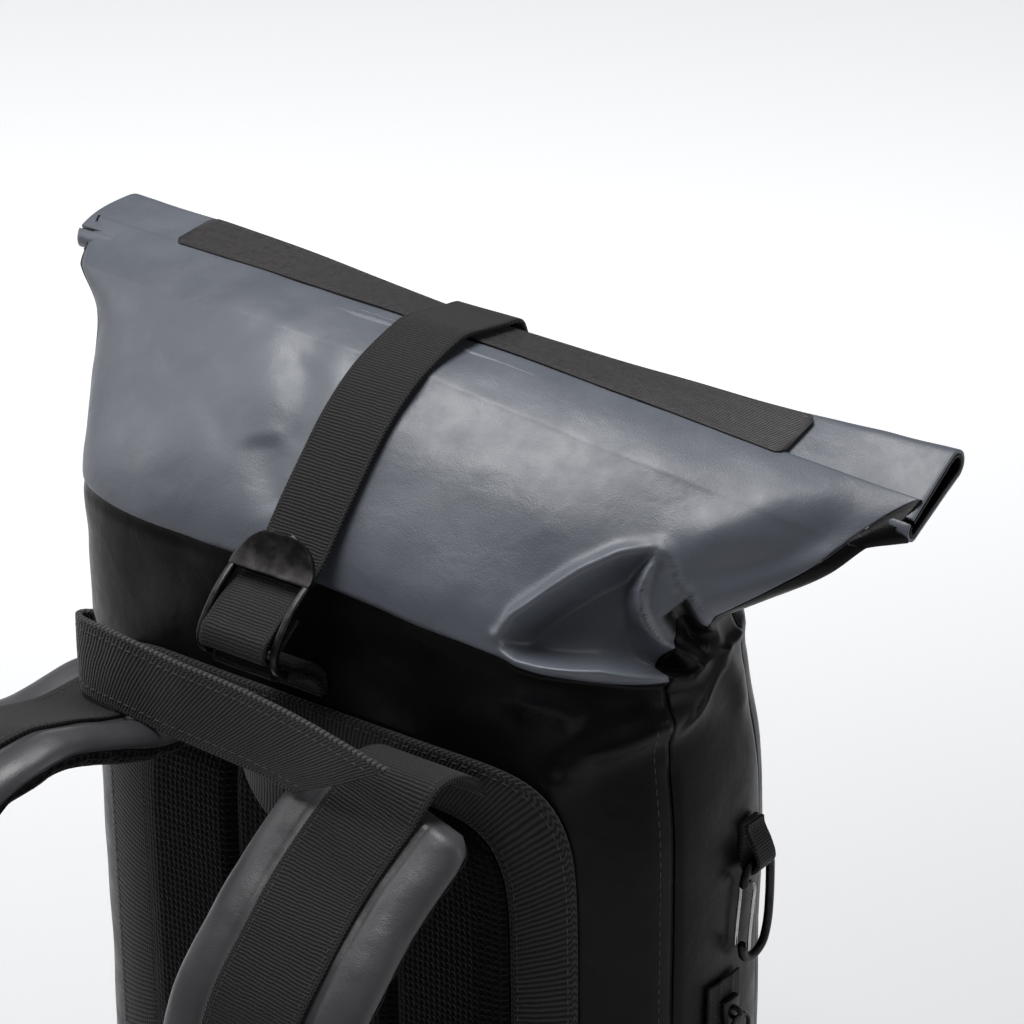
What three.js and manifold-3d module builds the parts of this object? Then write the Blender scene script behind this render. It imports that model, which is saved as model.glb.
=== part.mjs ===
// Rolltop backpack: a coated-fabric bag whose flattened mouth is rolled forward and strapped down.
// Millimetres. +Z is up, the worn side faces -Y, +X is to the right of someone who looks at that side.
// The origin is the middle of the base, on the floor.
import * as THREE from "three";
import { mergeVertices } from "three/addons/utils/BufferGeometryUtils.js";
import Module from "manifold-3d";

const wasm = await Module();
wasm.setup();

// Driving dimensions
const BODY_WIDTH = 284;
const BODY_DEPTH = 120;
const SEAM_HEIGHT = 366;
const CREST_RISE = 68;
const CLOTH = 1.5;
const BASE_THICKNESS = 3;
const GAP = 0.3;

const ROLL_LENGTH = 388;
const ROLL_WIDTH = 42;
const ROLL_THICKNESS = 12;
const ROLL_FORWARD = BODY_DEPTH * 0.325;
const MOUTH_THICKNESS = 9;
const TOP_STRIP_WIDTH = 25;
const TOP_STRIP_LENGTH = 288;
const TAPE_THICKNESS = 0.8;

const STRAP_X = -9;
const STRAP_WIDTH = 30;
const WEBBING = 1.6;

const BUCKLE_WIDTH = 37;
const BUCKLE_METAL = 2.2;
const BUCKLE_ARM = 2.8;
const BUCKLE_SLOPE = 42;
const BUCKLE_BACK = 66;
const BUCKLE_UP = 17.5;

const HARNESS_X = -12;
const HANDLE_WIDTH = 32;
const HANDLE_LENGTH = 166;
const HANDLE_THICKNESS = 2.6;
const HANDLE_REACH = 52;
const SHOULDER_SPACING = 150;
const SHOULDER_WIDTH = 78;
const SHOULDER_THICKNESS = 13;
const SHOULDER_BOW = 110;
const SHOULDER_WEBBING = 40;
const LOWER_WEBBING = 25;

const PAD_TOP = 317;
const PAD_BOTTOM = 40;
const PAD_HALF_WIDTH = 112;
const PAD_BORDER = 25;
const PAD_THICKNESS = 9;
const BORDER_THICKNESS = 3;

const CLIP_Y = 12;
const CLIP_TOP = 266;
const CLIP_HEIGHT = 41;
const CLIP_WIDTH = 18;
const CLIP_ROD = 3.2;
const GATE_WIRE = 1.4;
const TAB_WIDTH = 11;
const TAB_HEIGHT = 16;

const ZIP_TOP = 220;
const ZIP_BOTTOM = 66;
const ZIP_WIDTH = 20;
const ZIP_SEAT = 0.8;

const vec = (x, y, z) => new THREE.Vector3(x, y, z);
const mix = (a, b, t) => a + (b - a) * t;
const radians = THREE.MathUtils.degToRad;

// Values between the rows of a table, on a smooth curve through them
function lookUp(rows, key, at, name) {
  const last = rows.length - 1;
  if (at <= rows[0][key]) return rows[0][name];
  if (at >= rows[last][key]) return rows[last][name];
  const i = rows.findIndex((row, k) => k < last && at <= rows[k + 1][key]);
  const [p, q] = [rows[i], rows[i + 1]];
  const before = rows[Math.max(i - 1, 0)];
  const after = rows[Math.min(i + 2, last)];
  const span = q[key] - p[key];
  const t = (at - p[key]) / span;
  const slopeP = ((q[name] - before[name]) / (q[key] - before[key])) * span;
  const slopeQ = ((after[name] - p[name]) / (after[key] - p[key])) * span;
  const tt = t * t;
  const ttt = tt * t;
  return (
    (2 * ttt - 3 * tt + 1) * p[name] + (ttt - 2 * tt + t) * slopeP +
    (3 * tt - 2 * ttt) * q[name] + (ttt - tt) * slopeQ
  );
}

// A closed geometry from points and triangles, turned so that its faces point out
function closedGeometry(points, faces) {
  let volume = 0;
  for (const [a, b, c] of faces) {
    volume += points[a].dot(vec(0, 0, 0).crossVectors(points[b], points[c]));
  }
  const turned = volume < 0 ? faces.map(([a, b, c]) => [a, c, b]) : faces;
  const geometry = new THREE.BufferGeometry();
  geometry.setAttribute(
    "position",
    new THREE.Float32BufferAttribute(points.flatMap((p) => [p.x, p.y, p.z]), 3),
  );
  geometry.setIndex(turned.flat());
  return geometry;
}

// A sheet with a wall: matching grids of outer and inner points, with rims round the edge.
// A ring sheet closes on itself across its columns.
function sheetBetween(outer, inner, ring = false) {
  const rows = outer.length;
  const columns = outer[0].length;
  const points = [...outer.flat(), ...inner.flat()];
  const faces = [];
  const quad = (a, b, c, d) => faces.push([a, b, c], [a, c, d]);
  const outside = (i, j) => i * columns + (j % columns);
  const inside = (i, j) => rows * columns + outside(i, j);
  const spans = ring ? columns : columns - 1;
  for (let i = 0; i < rows - 1; i++) {
    for (let j = 0; j < spans; j++) {
      quad(outside(i, j), outside(i, j + 1), outside(i + 1, j + 1), outside(i + 1, j));
      quad(inside(i, j), inside(i + 1, j), inside(i + 1, j + 1), inside(i, j + 1));
    }
    if (!ring) {
      quad(outside(i, 0), outside(i + 1, 0), inside(i + 1, 0), inside(i, 0));
      const e = columns - 1;
      quad(outside(i, e), inside(i, e), inside(i + 1, e), outside(i + 1, e));
    }
  }
  for (let j = 0; j < spans; j++) {
    const e = rows - 1;
    quad(outside(0, j), inside(0, j), inside(0, j + 1), outside(0, j + 1));
    quad(outside(e, j), outside(e, j + 1), inside(e, j + 1), inside(e, j));
  }
  return closedGeometry(points, faces);
}

// A solid through closed rings of equally many points, with a fan over each end
function loft(rings) {
  const count = rings[0].length;
  const points = rings.flat();
  const faces = [];
  for (let i = 0; i < rings.length - 1; i++) {
    for (let j = 0; j < count; j++) {
      const a = i * count + j;
      const b = i * count + ((j + 1) % count);
      faces.push([a, b, b + count], [a, b + count, a + count]);
    }
  }
  for (const [ring, flip] of [[0, true], [rings.length - 1, false]]) {
    const middle = points.length;
    points.push(rings[ring].reduce((sum, p) => sum.add(p), vec(0, 0, 0)).divideScalar(count));
    for (let j = 0; j < count; j++) {
      const a = ring * count + j;
      const b = ring * count + ((j + 1) % count);
      faces.push(flip ? [middle, b, a] : [middle, a, b]);
    }
  }
  return closedGeometry(points, faces);
}

// Stations along a smooth path, each with its tangent, the direction across it, and the normal
function stations(points, steps, across) {
  const curve = new THREE.CatmullRomCurve3(points, false, "centripetal");
  return Array.from({ length: steps + 1 }, (_, i) => {
    const u = i / steps;
    const at = curve.getPointAt(u);
    const along = curve.getTangentAt(u);
    const hint = typeof across === "function" ? across(u) : across;
    const side = hint.clone().addScaledVector(along, -hint.dot(along)).normalize();
    return { u, at, along, side, normal: vec(0, 0, 0).crossVectors(side, along) };
  });
}

const place = (s, sideways, out) =>
  s.at.clone().addScaledVector(s.side, sideways).addScaledVector(s.normal, out);

// A flat band along a path, with a rectangular section
function band(points, width, thickness, across, steps) {
  const half = width / 2;
  const deep = thickness / 2;
  return loft(
    stations(points, steps, across).map((s) => [
      place(s, -half, -deep), place(s, half, -deep), place(s, half, deep), place(s, -half, deep),
    ]),
  );
}

// A round rod along a path
function rod(points, diameter, sides, steps, closed = false) {
  const circle = new THREE.Shape();
  circle.absarc(0, 0, diameter / 2, 0, Math.PI * 2);
  const geometry = new THREE.ExtrudeGeometry(circle, {
    steps,
    curveSegments: sides / 2,
    bevelEnabled: false,
    extrudePath: new THREE.CatmullRomCurve3(points, closed, "centripetal"),
  });
  return merged(geometry);
}

function merged(geometry) {
  const bare = geometry.clone();
  bare.deleteAttribute("normal");
  bare.deleteAttribute("uv");
  return mergeVertices(bare, 1e-4);
}

// Solids joined into one, or cut out of the first one
function solid(geometry) {
  const g = merged(geometry);
  const mesh = new wasm.Mesh({
    numProp: 3,
    vertProperties: new Float32Array(g.attributes.position.array),
    triVerts: new Uint32Array(g.index.array),
  });
  return new wasm.Manifold(mesh);
}

function geometryOf(made) {
  const mesh = made.getMesh();
  const geometry = new THREE.BufferGeometry();
  geometry.setAttribute("position", new THREE.BufferAttribute(mesh.vertProperties, 3));
  geometry.setIndex(new THREE.BufferAttribute(mesh.triVerts, 1));
  return geometry;
}

const joined = (...parts) =>
  geometryOf(parts.map(solid).reduce((sum, part) => sum.add(part)));

// Materials
const coated = (color) => new THREE.MeshStandardMaterial({ color, roughness: 0.45, metalness: 0 });
const cloth = (color) => new THREE.MeshStandardMaterial({ color, roughness: 0.9, metalness: 0 });
const metal = (color) => new THREE.MeshStandardMaterial({ color, roughness: 0.3, metalness: 0.9 });
const BLACK_COATED = coated(0x1e1b1e);
const GREY_COATED = coated(0x5f656e);
const SATIN_TAPE = coated(0x3a363a);
const BLACK_WEBBING = cloth(0x19181a);
const PAD_MESH = cloth(0x1c161c);
const STRAP_COATED = coated(0x5a565c);
const GUNMETAL = metal(0x4e4a4c);
const STEEL = metal(0xb8b6b2);

const backpack = new THREE.Group();
backpack.name = "rolltop_backpack";

function add(name, geometry, material) {
  const mesh = new THREE.Mesh(geometry, material);
  mesh.name = name;
  backpack.add(mesh);
  return mesh;
}

// The roll: where the middle of its upper face lies, and how far it leans back, along its length.
// forward and up are shares of ROLL_WIDTH from the roll's own place, lean is in degrees.
const ROLL_TABLE = [
  { along: -1, forward: 0.25, up: 0.04, lean: 8 },
  { along: -0.55, forward: 0.1, up: 0.07, lean: 2 },
  { along: -0.05, forward: 0, up: 0, lean: -9 },
  { along: 0.5, forward: 0.04, up: -0.14, lean: 4 },
  { along: 1, forward: 0.17, up: -0.3, lean: 31 },
];
const ROLL_UP = SEAM_HEIGHT + CREST_RISE - ROLL_WIDTH * 0.08;

// A point on the roll's upper face: along its length, and from its back edge 0 to its front edge 1
function onRoll(x, across, sink = 0) {
  const along = THREE.MathUtils.clamp((2 * x) / ROLL_LENGTH, -1, 1);
  const row = (name) => lookUp(ROLL_TABLE, "along", along, name);
  const lean = radians(row("lean"));
  const reach = (across - 0.5) * ROLL_WIDTH;
  return vec(
    x,
    ROLL_FORWARD + row("forward") * ROLL_WIDTH + reach * Math.cos(lean) + sink * Math.sin(lean),
    ROLL_UP + row("up") * ROLL_WIDTH + reach * Math.sin(lean) - sink * Math.cos(lean),
  );
}

// The body's sections from the floor to the mouth. backY, frontY: shares of half the depth.
// backUp, frontUp: shares of SEAM_HEIGHT up to the seam, then 1 plus shares of CREST_RISE.
// wide, shift: shares of half the width. round, soft: exponents of the outline.
// sag: how far the section follows the roll down.
const BODY_TABLE = [
  {
    v: 0, backY: -0.93, backUp: 0.009, frontY: 0.93, frontUp: 0.009,
    wide: 0.955, shift: 0, round: 5, soft: 2.5, sag: 0,
  },
  {
    v: 1, backY: -0.98, backUp: 0.045, frontY: 0.99, frontUp: 0.045,
    wide: 0.985, shift: 0, round: 5, soft: 2.5, sag: 0,
  },
  {
    v: 2, backY: -1.0, backUp: 0.14, frontY: 1.0, frontUp: 0.14,
    wide: 1.0, shift: 0, round: 5, soft: 2.5, sag: 0,
  },
  {
    v: 3, backY: -1.0, backUp: 0.37, frontY: 1.02, frontUp: 0.37,
    wide: 1.0, shift: 0, round: 5, soft: 2.5, sag: 0,
  },
  {
    v: 4, backY: -1.02, backUp: 0.6, frontY: 1.02, frontUp: 0.6,
    wide: 1.0, shift: 0, round: 5, soft: 2.5, sag: 0,
  },
  {
    v: 5, backY: -1.04, backUp: 0.8, frontY: 1.0, frontUp: 0.8,
    wide: 1.0, shift: 0, round: 5, soft: 2.5, sag: 0.15,
  },
  {
    v: 6, backY: -1.05, backUp: 0.93, frontY: 0.98, frontUp: 0.93,
    wide: 0.985, shift: -0.02, round: 4.6, soft: 2.4, sag: 0.6,
  },
  {
    v: 7, backY: -1.03, backUp: 1.0, frontY: 0.97, frontUp: 1.0,
    wide: 0.99, shift: -0.04, round: 4.4, soft: 2.3, sag: 0.9,
  },
  {
    v: 8, backY: -0.93, backUp: 1.2, frontY: 0.97, frontUp: 1.2,
    wide: 1.005, shift: -0.07, round: 4, soft: 2, sag: 1,
  },
  {
    v: 9, backY: -0.72, backUp: 1.44, frontY: 0.92, frontUp: 1.42,
    wide: 1.105, shift: -0.045, round: 3.4, soft: 1.6, sag: 1,
  },
  {
    v: 10, backY: -0.4, backUp: 1.73, frontY: 0.82, frontUp: 1.62,
    wide: 1.205, shift: -0.005, round: 3, soft: 1.4, sag: 1,
  },
  {
    v: 11, backY: -0.03, backUp: 1.93, frontY: 0.62, frontUp: 1.76,
    wide: 1.275, shift: 0.0, round: 3.4, soft: 1.5, sag: 1,
  },
];
const SEAM_ROW = 7;
const MOUTH_ROW = 12;

// Columns of a section as shares of its half width: the panels meet at the seam column
const COLUMN_SHARES = [0, 0.2, 0.4, 0.56, 0.7, 0.8, 0.88, 0.94, 0.97, 0.992, 1];
const SEAM_COLUMN = 8;
const SIDE_COLUMN = COLUMN_SHARES.length - 1;
const HALF_LOOP = 2 * SIDE_COLUMN;
const LOOP = 2 * HALF_LOOP;

const heightOf = (up) => (up <= 1 ? up * SEAM_HEIGHT : SEAM_HEIGHT + (up - 1) * CREST_RISE);

function sectionAt(v) {
  if (v >= MOUTH_ROW) {
    return { mouth: true, wide: ROLL_LENGTH / 2, shift: 0, round: 8, soft: 3, sag: 1 };
  }
  const row = (name) => lookUp(BODY_TABLE, "v", v, name);
  const half = BODY_DEPTH / 2;
  return {
    back: vec(0, row("backY") * half, heightOf(row("backUp"))),
    front: vec(0, row("frontY") * half, heightOf(row("frontUp"))),
    wide: (row("wide") * BODY_WIDTH) / 2,
    shift: (row("shift") * BODY_WIDTH) / 2,
    round: row("round"),
    soft: row("soft"),
    sag: row("sag"),
  };
}

// How deep an outline is at a share of its half width, as a share of its half depth
const depthShare = (section, share) =>
  Math.pow(Math.max(0, 1 - Math.pow(share, section.round)), 1 / section.soft);

// One closed loop of the body's skin, inset by a wall, starting at the middle of the back
function bodyLoop(v, inset) {
  const section = sectionAt(v);
  return Array.from({ length: LOOP }, (_, j) => {
    const right = j <= HALF_LOOP;
    const k = right ? j : LOOP - j;
    const onBack = k <= SIDE_COLUMN;
    const share = COLUMN_SHARES[onBack ? k : HALF_LOOP - k];
    const x = section.shift + (section.wide - inset) * share * (right ? 1 : -1);
    const side = onBack ? -1 : 1;
    if (section.mouth) {
      const half = MOUTH_THICKNESS / 2;
      const deep = (half - inset) * depthShare(section, share);
      return onRoll(x, 0, half + side * deep);
    }
    const middle = section.back.clone().add(section.front).divideScalar(2);
    const reach = section.front.clone().sub(section.back).divideScalar(2);
    const half = reach.length();
    const deep = (half - inset) * depthShare(section, share) * side;
    const point = middle.addScaledVector(reach.divideScalar(half), deep);
    const drop = onRoll(x, 0).sub(onRoll(0, 0));
    const lean = THREE.MathUtils.clamp((v - SEAM_ROW) / (MOUTH_ROW - SEAM_ROW), 0, 1);
    return vec(x, point.y + drop.y * lean * lean, point.z + drop.z * section.sag);
  });
}

const outerLoops = [];
const innerLoops = [];
const LOOP_ROWS = [0, 1, 2, 3, 4, 5, 6, 7, 7.5, 8, 8.5, 9, 9.5, 10, 10.5, 11, 11.5, 12];
for (const v of LOOP_ROWS) {
  outerLoops.push(bodyLoop(v, 0));
  innerLoops.push(bodyLoop(v, CLOTH));
}
const rowOf = (v) => LOOP_ROWS.indexOf(v);

// A panel of the body between two rows and two columns, pulled back by half a gap at each edge
function panel(fromRow, toRow, fromColumn, toColumn) {
  const cut = (loops) => {
    const grid = [];
    for (let i = rowOf(fromRow); i <= rowOf(toRow); i++) {
      const row = [];
      for (let j = fromColumn; j <= toColumn; j++) row.push(loops[i][(j + LOOP) % LOOP].clone());
      grid.push(row);
    }
    const pull = (edge, next) => {
      const length = edge.distanceTo(next);
      edge.lerp(next, Math.min(0.4, GAP / 2 / length));
    };
    for (const row of grid) {
      pull(row[0], row[1]);
      pull(row[row.length - 1], row[row.length - 2]);
    }
    const last = grid.length - 1;
    grid[0].forEach((point, j) => pull(point, grid[1][j]));
    grid[last].forEach((point, j) => pull(point, grid[last - 1][j]));
    return grid;
  };
  return sheetBetween(cut(outerLoops), cut(innerLoops));
}

const FRONT_SEAM = HALF_LOOP - SEAM_COLUMN;
add("back_panel", panel(0, SEAM_ROW, -SEAM_COLUMN, SEAM_COLUMN), BLACK_COATED);
add("hood_panel", panel(SEAM_ROW, MOUTH_ROW, -SEAM_COLUMN, SEAM_COLUMN), GREY_COATED);
add("side_gusset_right", panel(0, MOUTH_ROW, SEAM_COLUMN, FRONT_SEAM), BLACK_COATED);
add("front_panel", panel(0, MOUTH_ROW, FRONT_SEAM, LOOP - FRONT_SEAM), BLACK_COATED);
add("side_gusset_left", panel(0, MOUTH_ROW, LOOP - FRONT_SEAM, LOOP - SEAM_COLUMN), BLACK_COATED);

// The floor of the bag, a flat board-like panel with rounded corners
const BASE_TABLE = [
  { up: 0, share: 0.965 },
  { up: 0.4, share: 1 },
  { up: 1, share: 1 },
];
const baseOutline = bodyLoop(0, 0);
const baseRing = ({ up, share }) =>
  baseOutline.map((p) => vec(p.x * share, p.y * share, up * (BASE_THICKNESS - GAP / 2)));
add("base_panel", loft(BASE_TABLE.map(baseRing)), BLACK_COATED);

// The rolled mouth: two layers of cloth wound flat on themselves, one turn and a half
const ROLL_LAYER = 2 * CLOTH;
const ROLL_SPACE = 0.6;
function rollCentreLine() {
  const pitch = ROLL_LAYER + ROLL_SPACE;
  const points = [];
  const turns = [
    { from: 90, to: 270, end: 1 },
    { from: 270, to: 450, end: -1 },
    { from: 90, to: 270, end: 1 },
  ];
  let radius = ROLL_THICKNESS / 2 - ROLL_LAYER / 2;
  let sink = ROLL_THICKNESS / 2;
  points.push({ reach: -(ROLL_WIDTH / 2 - ROLL_THICKNESS / 2), sink: ROLL_LAYER / 2 });
  for (const { from, to, end } of turns) {
    if (radius <= ROLL_LAYER / 2) break;
    const bend = end * (ROLL_WIDTH / 2 - radius - ROLL_LAYER / 2);
    for (let a = from; a <= to; a += 45) {
      const turn = radians(a);
      points.push({
        reach: bend + end * Math.abs(Math.cos(turn)) * radius,
        sink: sink - Math.sin(turn) * radius,
      });
    }
    sink += (-pitch / 2) * end;
    radius -= pitch / 2;
  }
  return points;
}

function rollSection(x) {
  const line = rollCentreLine().map(({ reach, sink }) => vec(0, reach, -sink));
  const outer = [];
  const inner = [];
  line.forEach((p, i) => {
    const before = line[Math.max(i - 1, 0)];
    const after = line[Math.min(i + 1, line.length - 1)];
    const along = after.clone().sub(before).normalize();
    const normal = vec(0, -along.z, along.y).multiplyScalar(ROLL_LAYER / 2);
    outer.push(p.clone().add(normal));
    inner.push(p.clone().sub(normal));
  });
  const world = (p) => onRoll(x, 0.5 + p.y / ROLL_WIDTH, -p.z);
  return { outer: outer.map(world), inner: inner.map(world) };
}
const ROLL_STEPS = 16;
const rollPlaces = Array.from({ length: ROLL_STEPS + 1 }, (_, i) =>
  mix(-ROLL_LENGTH / 2, ROLL_LENGTH / 2, i / ROLL_STEPS),
);
const rollSections = rollPlaces.map(rollSection);
add(
  "rolled_top",
  sheetBetween(rollSections.map((s) => s.outer), rollSections.map((s) => s.inner)),
  GREY_COATED,
);

// The satin strip across the roll's upper face
const STRIP_MIDDLE = -5;
const STRIP_ACROSS = 0.56;
const stripEnds = [-0.5, 0.5].map((end) => STRIP_MIDDLE + end * TOP_STRIP_LENGTH);
const stripPlaces = [
  stripEnds[0],
  ...rollPlaces.filter((x) => x > stripEnds[0] + 1 && x < stripEnds[1] - 1),
  stripEnds[1],
];
const onStrip = (lift) =>
  stripPlaces.map((x) => {
    const share = TOP_STRIP_WIDTH / ROLL_WIDTH;
    return [0, 0.5, 1].map((t) => onRoll(x, STRIP_ACROSS + (t - 0.5) * share, -lift));
  });
const STRIP_LIFT = 3 * GAP;
add("top_strip", sheetBetween(onStrip(STRIP_LIFT + TAPE_THICKNESS), onStrip(STRIP_LIFT)), SATIN_TAPE);

// Points on the lower body's back, right side and front, a little way out from the skin
const LOWER_TABLE = BODY_TABLE.filter((row) => row.v <= SEAM_ROW);
const lowerSection = (z) => sectionAt(lookUp(LOWER_TABLE, "backUp", z / SEAM_HEIGHT, "v"));
const SLOPE_STEP = 0.5;
function onFace(x, z, out, face) {
  const section = lowerSection(z);
  const depth = (at) => section[face].y * depthShare(section, Math.min(1, Math.abs(at) / section.wide));
  const slope = (depth(x + SLOPE_STEP) - depth(x - SLOPE_STEP)) / (2 * SLOPE_STEP);
  const normal = vec(-slope, 1, 0).normalize().multiplyScalar(Math.sign(section[face].y));
  return vec(x, depth(x), z).addScaledVector(normal, out);
}
const onBack = (x, z, out = 0) => onFace(x, z, out, "back");
const onFront = (x, z, out = 0) => onFace(x, z, out, "front");
function onSide(y, z, out = 0) {
  const section = lowerSection(z);
  const half = (section.front.y - section.back.y) / 2;
  const off = Math.abs(y - (section.front.y + section.back.y) / 2) / half;
  const share = Math.pow(1 - Math.pow(off, section.soft), 1 / section.round);
  return vec(section.wide * share + out, y, z);
}

// The ladder buckle's own plane: t runs down the strap from the plate's tip, h stands out from it
const BUCKLE_PLATE = 16;
const BUCKLE_BAR_T = 43;
const BUCKLE_BAR_H = -1.5;
const BUCKLE_LIP_T = 45;
const BUCKLE_LIP_H = -13;
const BAR_DIAMETER = 4;
const buckleTip = vec(STRAP_X, -BUCKLE_BACK, SEAM_HEIGHT + BUCKLE_UP);
const buckleDown = vec(0, -Math.cos(radians(BUCKLE_SLOPE)), -Math.sin(radians(BUCKLE_SLOPE)));
const buckleOut = vec(0, -Math.sin(radians(BUCKLE_SLOPE)), Math.cos(radians(BUCKLE_SLOPE)));
const onBuckle = (across, t, h) =>
  vec(across, 0, 0).add(buckleTip).addScaledVector(buckleDown, t).addScaledVector(buckleOut, h);
const X_AXIS = vec(1, 0, 0);
const Y_AXIS = vec(0, 1, 0);
const Z_AXIS = vec(0, 0, 1);

// The plate's outline: half widths as shares of half the buckle, down the plate, and its curl
const PLATE_TABLE = [
  { down: 0, wide: 0.3, curl: 4 },
  { down: 0.1, wide: 0.56, curl: 3 },
  { down: 0.3, wide: 0.78, curl: 1.7 },
  { down: 0.56, wide: 0.93, curl: 0.5 },
  { down: 0.8, wide: 1, curl: 0 },
  { down: 1, wide: 1, curl: 0 },
];
const plateGrid = (sink) =>
  PLATE_TABLE.map(({ down, wide, curl }) =>
    [-1, -0.5, 0, 0.5, 1].map((side) =>
      onBuckle((side * wide * BUCKLE_WIDTH) / 2, down * BUCKLE_PLATE, curl - sink)));

// The side arms, from under the plate round to the lip bar
const ARM_TABLE = [
  { t: 13, h: -1.1 },
  { t: 21, h: 1.2 },
  { t: 31, h: 1.4 },
  { t: BUCKLE_BAR_T, h: BUCKLE_BAR_H },
  { t: 46.5, h: -7 },
  { t: BUCKLE_LIP_T, h: BUCKLE_LIP_H - 1 },
];
const armX = BUCKLE_WIDTH / 2 - BUCKLE_ARM / 2;
const buckleArm = (x) =>
  band(ARM_TABLE.map(({ t, h }) => onBuckle(x, t, h)), BUCKLE_ARM, BUCKLE_METAL + 0.8, X_AXIS, 10);
const crossBar = (t, h) =>
  rod([onBuckle(-armX, t, h), onBuckle(armX, t, h)], BAR_DIAMETER, 10, 1);
add(
  "ladder_buckle",
  joined(
    sheetBetween(plateGrid(0), plateGrid(BUCKLE_METAL)),
    buckleArm(-armX),
    buckleArm(armX),
    crossBar(BUCKLE_BAR_T, BUCKLE_BAR_H),
    crossBar(BUCKLE_LIP_T, BUCKLE_LIP_H),
  ),
  GUNMETAL,
);

// The plain clasp at the front: a flat frame with two slots, hidden from the back
const CLASP_WIDTH = 37;
const CLASP_HEIGHT = 27;
const CLASP_DROP = 18;
const CLASP_TOP = SEAM_HEIGHT - CLASP_DROP;
const CLASP_METAL = 2.2;
const CLASP_OUT = 3;
const CLASP_BAR = 3.5;
const claspMiddle = onFront(STRAP_X, CLASP_TOP - CLASP_HEIGHT / 2, CLASP_OUT + CLASP_METAL / 2);
claspMiddle.x = STRAP_X;
const rectangle = (path, halfWide, low, high) => {
  path.moveTo(-halfWide, low);
  path.lineTo(halfWide, low);
  path.lineTo(halfWide, high);
  path.lineTo(-halfWide, high);
  path.closePath();
  return path;
};
const claspShape = rectangle(new THREE.Shape(), CLASP_WIDTH / 2, -CLASP_HEIGHT / 2, CLASP_HEIGHT / 2);
const slotHeight = (CLASP_HEIGHT - 3 * CLASP_BAR) / 2;
for (const low of [-CLASP_HEIGHT / 2 + CLASP_BAR, CLASP_BAR / 2]) {
  claspShape.holes.push(
    rectangle(new THREE.Path(), CLASP_WIDTH / 2 - BUCKLE_ARM, low, low + slotHeight),
  );
}
add(
  "front_hook",
  merged(
    new THREE.ExtrudeGeometry(claspShape, { depth: CLASP_METAL, bevelEnabled: false })
      .translate(0, 0, -CLASP_METAL / 2)
      .rotateX(Math.PI / 2)
      .translate(claspMiddle.x, claspMiddle.y, claspMiddle.z),
  ),
  GUNMETAL,
);

// The closure strap: round the clasp's top bar, up the front, over the roll and the hood, under the
// buckle's plate, out through its window, round its bar and back behind
const STRAP_LIFT = GAP + WEBBING / 2;
const OVER_TAPE = STRIP_LIFT + TAPE_THICKNESS + STRAP_LIFT + 2 * GAP;
const BAR_TURN = BAR_DIAMETER / 2 + STRAP_LIFT + 0.9;
const claspFace = claspMiddle.y + CLASP_METAL / 2 + STRAP_LIFT;
const claspBack = claspMiddle.y - CLASP_METAL / 2 - STRAP_LIFT;
const claspTopBar = CLASP_TOP - CLASP_BAR;
const onStrapPlane = (y, z) => vec(STRAP_X, y, z);
const overRoll = (across, sink) => onRoll(STRAP_X, across, sink);
// The hood's skin at a place across it, and its highest line under the strap
function hoodAt(v, x) {
  const loop = bodyLoop(v, 0);
  const columns = [-2, -1, 0, 1, 2].map((j) => loop[(j + LOOP) % LOOP]);
  const i = columns.findIndex((p, k) => k < columns.length - 1 && x <= columns[k + 1].x);
  const t = (x - columns[i].x) / (columns[i + 1].x - columns[i].x);
  return columns[i].clone().lerp(columns[i + 1], t);
}
const HOOD_STEP = 0.4;
function hoodPoint(v, out) {
  const [here, below, above] = [v, v - HOOD_STEP, Math.min(v + HOOD_STEP, MOUTH_ROW - 0.1)].map((row) =>
    [-0.5, 0, 0.5]
      .map((side) => hoodAt(row, STRAP_X + side * STRAP_WIDTH))
      .reduce((best, p) => (p.z > best.z ? p : best)));
  const along = above.sub(below).setX(0).normalize();
  return onStrapPlane(here.y - along.z * out, here.z + along.y * out);
}
const closurePath = [
  onStrapPlane(claspBack + 0.2, CLASP_TOP + 18),
  onStrapPlane(claspBack, CLASP_TOP + 3),
  onStrapPlane(claspBack, claspTopBar),
  onStrapPlane(claspBack + 0.9, claspTopBar - STRAP_LIFT - 1.2),
  onStrapPlane(claspFace - 0.9, claspTopBar - STRAP_LIFT - 1.2),
  onStrapPlane(claspFace, claspTopBar),
  onStrapPlane(claspFace, CLASP_TOP + 4),
  onStrapPlane(claspFace + 1, CLASP_TOP + 20),
  overRoll(1.02, ROLL_THICKNESS * 2),
  overRoll(1.05, ROLL_THICKNESS * 0.8),
  overRoll(1.07, ROLL_THICKNESS * 0.5),
  overRoll(1.02, ROLL_THICKNESS * 0.08),
  overRoll(0.93, -OVER_TAPE * 0.9),
  overRoll(0.7, -OVER_TAPE),
  overRoll(0.4, -OVER_TAPE),
  overRoll(0.1, -OVER_TAPE),
  hoodPoint(11.5, STRAP_LIFT * 2.8),
  hoodPoint(10.7, STRAP_LIFT * 2.1),
  hoodPoint(9.9, STRAP_LIFT * 1.9),
  hoodPoint(9.2, STRAP_LIFT * 2.3),
  hoodPoint(8.7, STRAP_LIFT * 2.9),
  onBuckle(0, 4, -5.6),
  onBuckle(0, 16, -4),
  onBuckle(0, 22, -1.6),
  onBuckle(0, 29, 0.8),
  onBuckle(0, 36, 1.9),
  onBuckle(0, BUCKLE_BAR_T - 1, BUCKLE_BAR_H + BAR_TURN),
  onBuckle(0, BUCKLE_BAR_T + BAR_TURN, BUCKLE_BAR_H),
  onBuckle(0, BUCKLE_BAR_T, BUCKLE_BAR_H - BAR_TURN),
  onBuckle(0, 36, -6.4),
  onBuckle(0, 26, -7.6),
];
add("closure_strap", band(closurePath, STRAP_WIDTH, WEBBING, X_AXIS, 72), BLACK_WEBBING);

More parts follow.
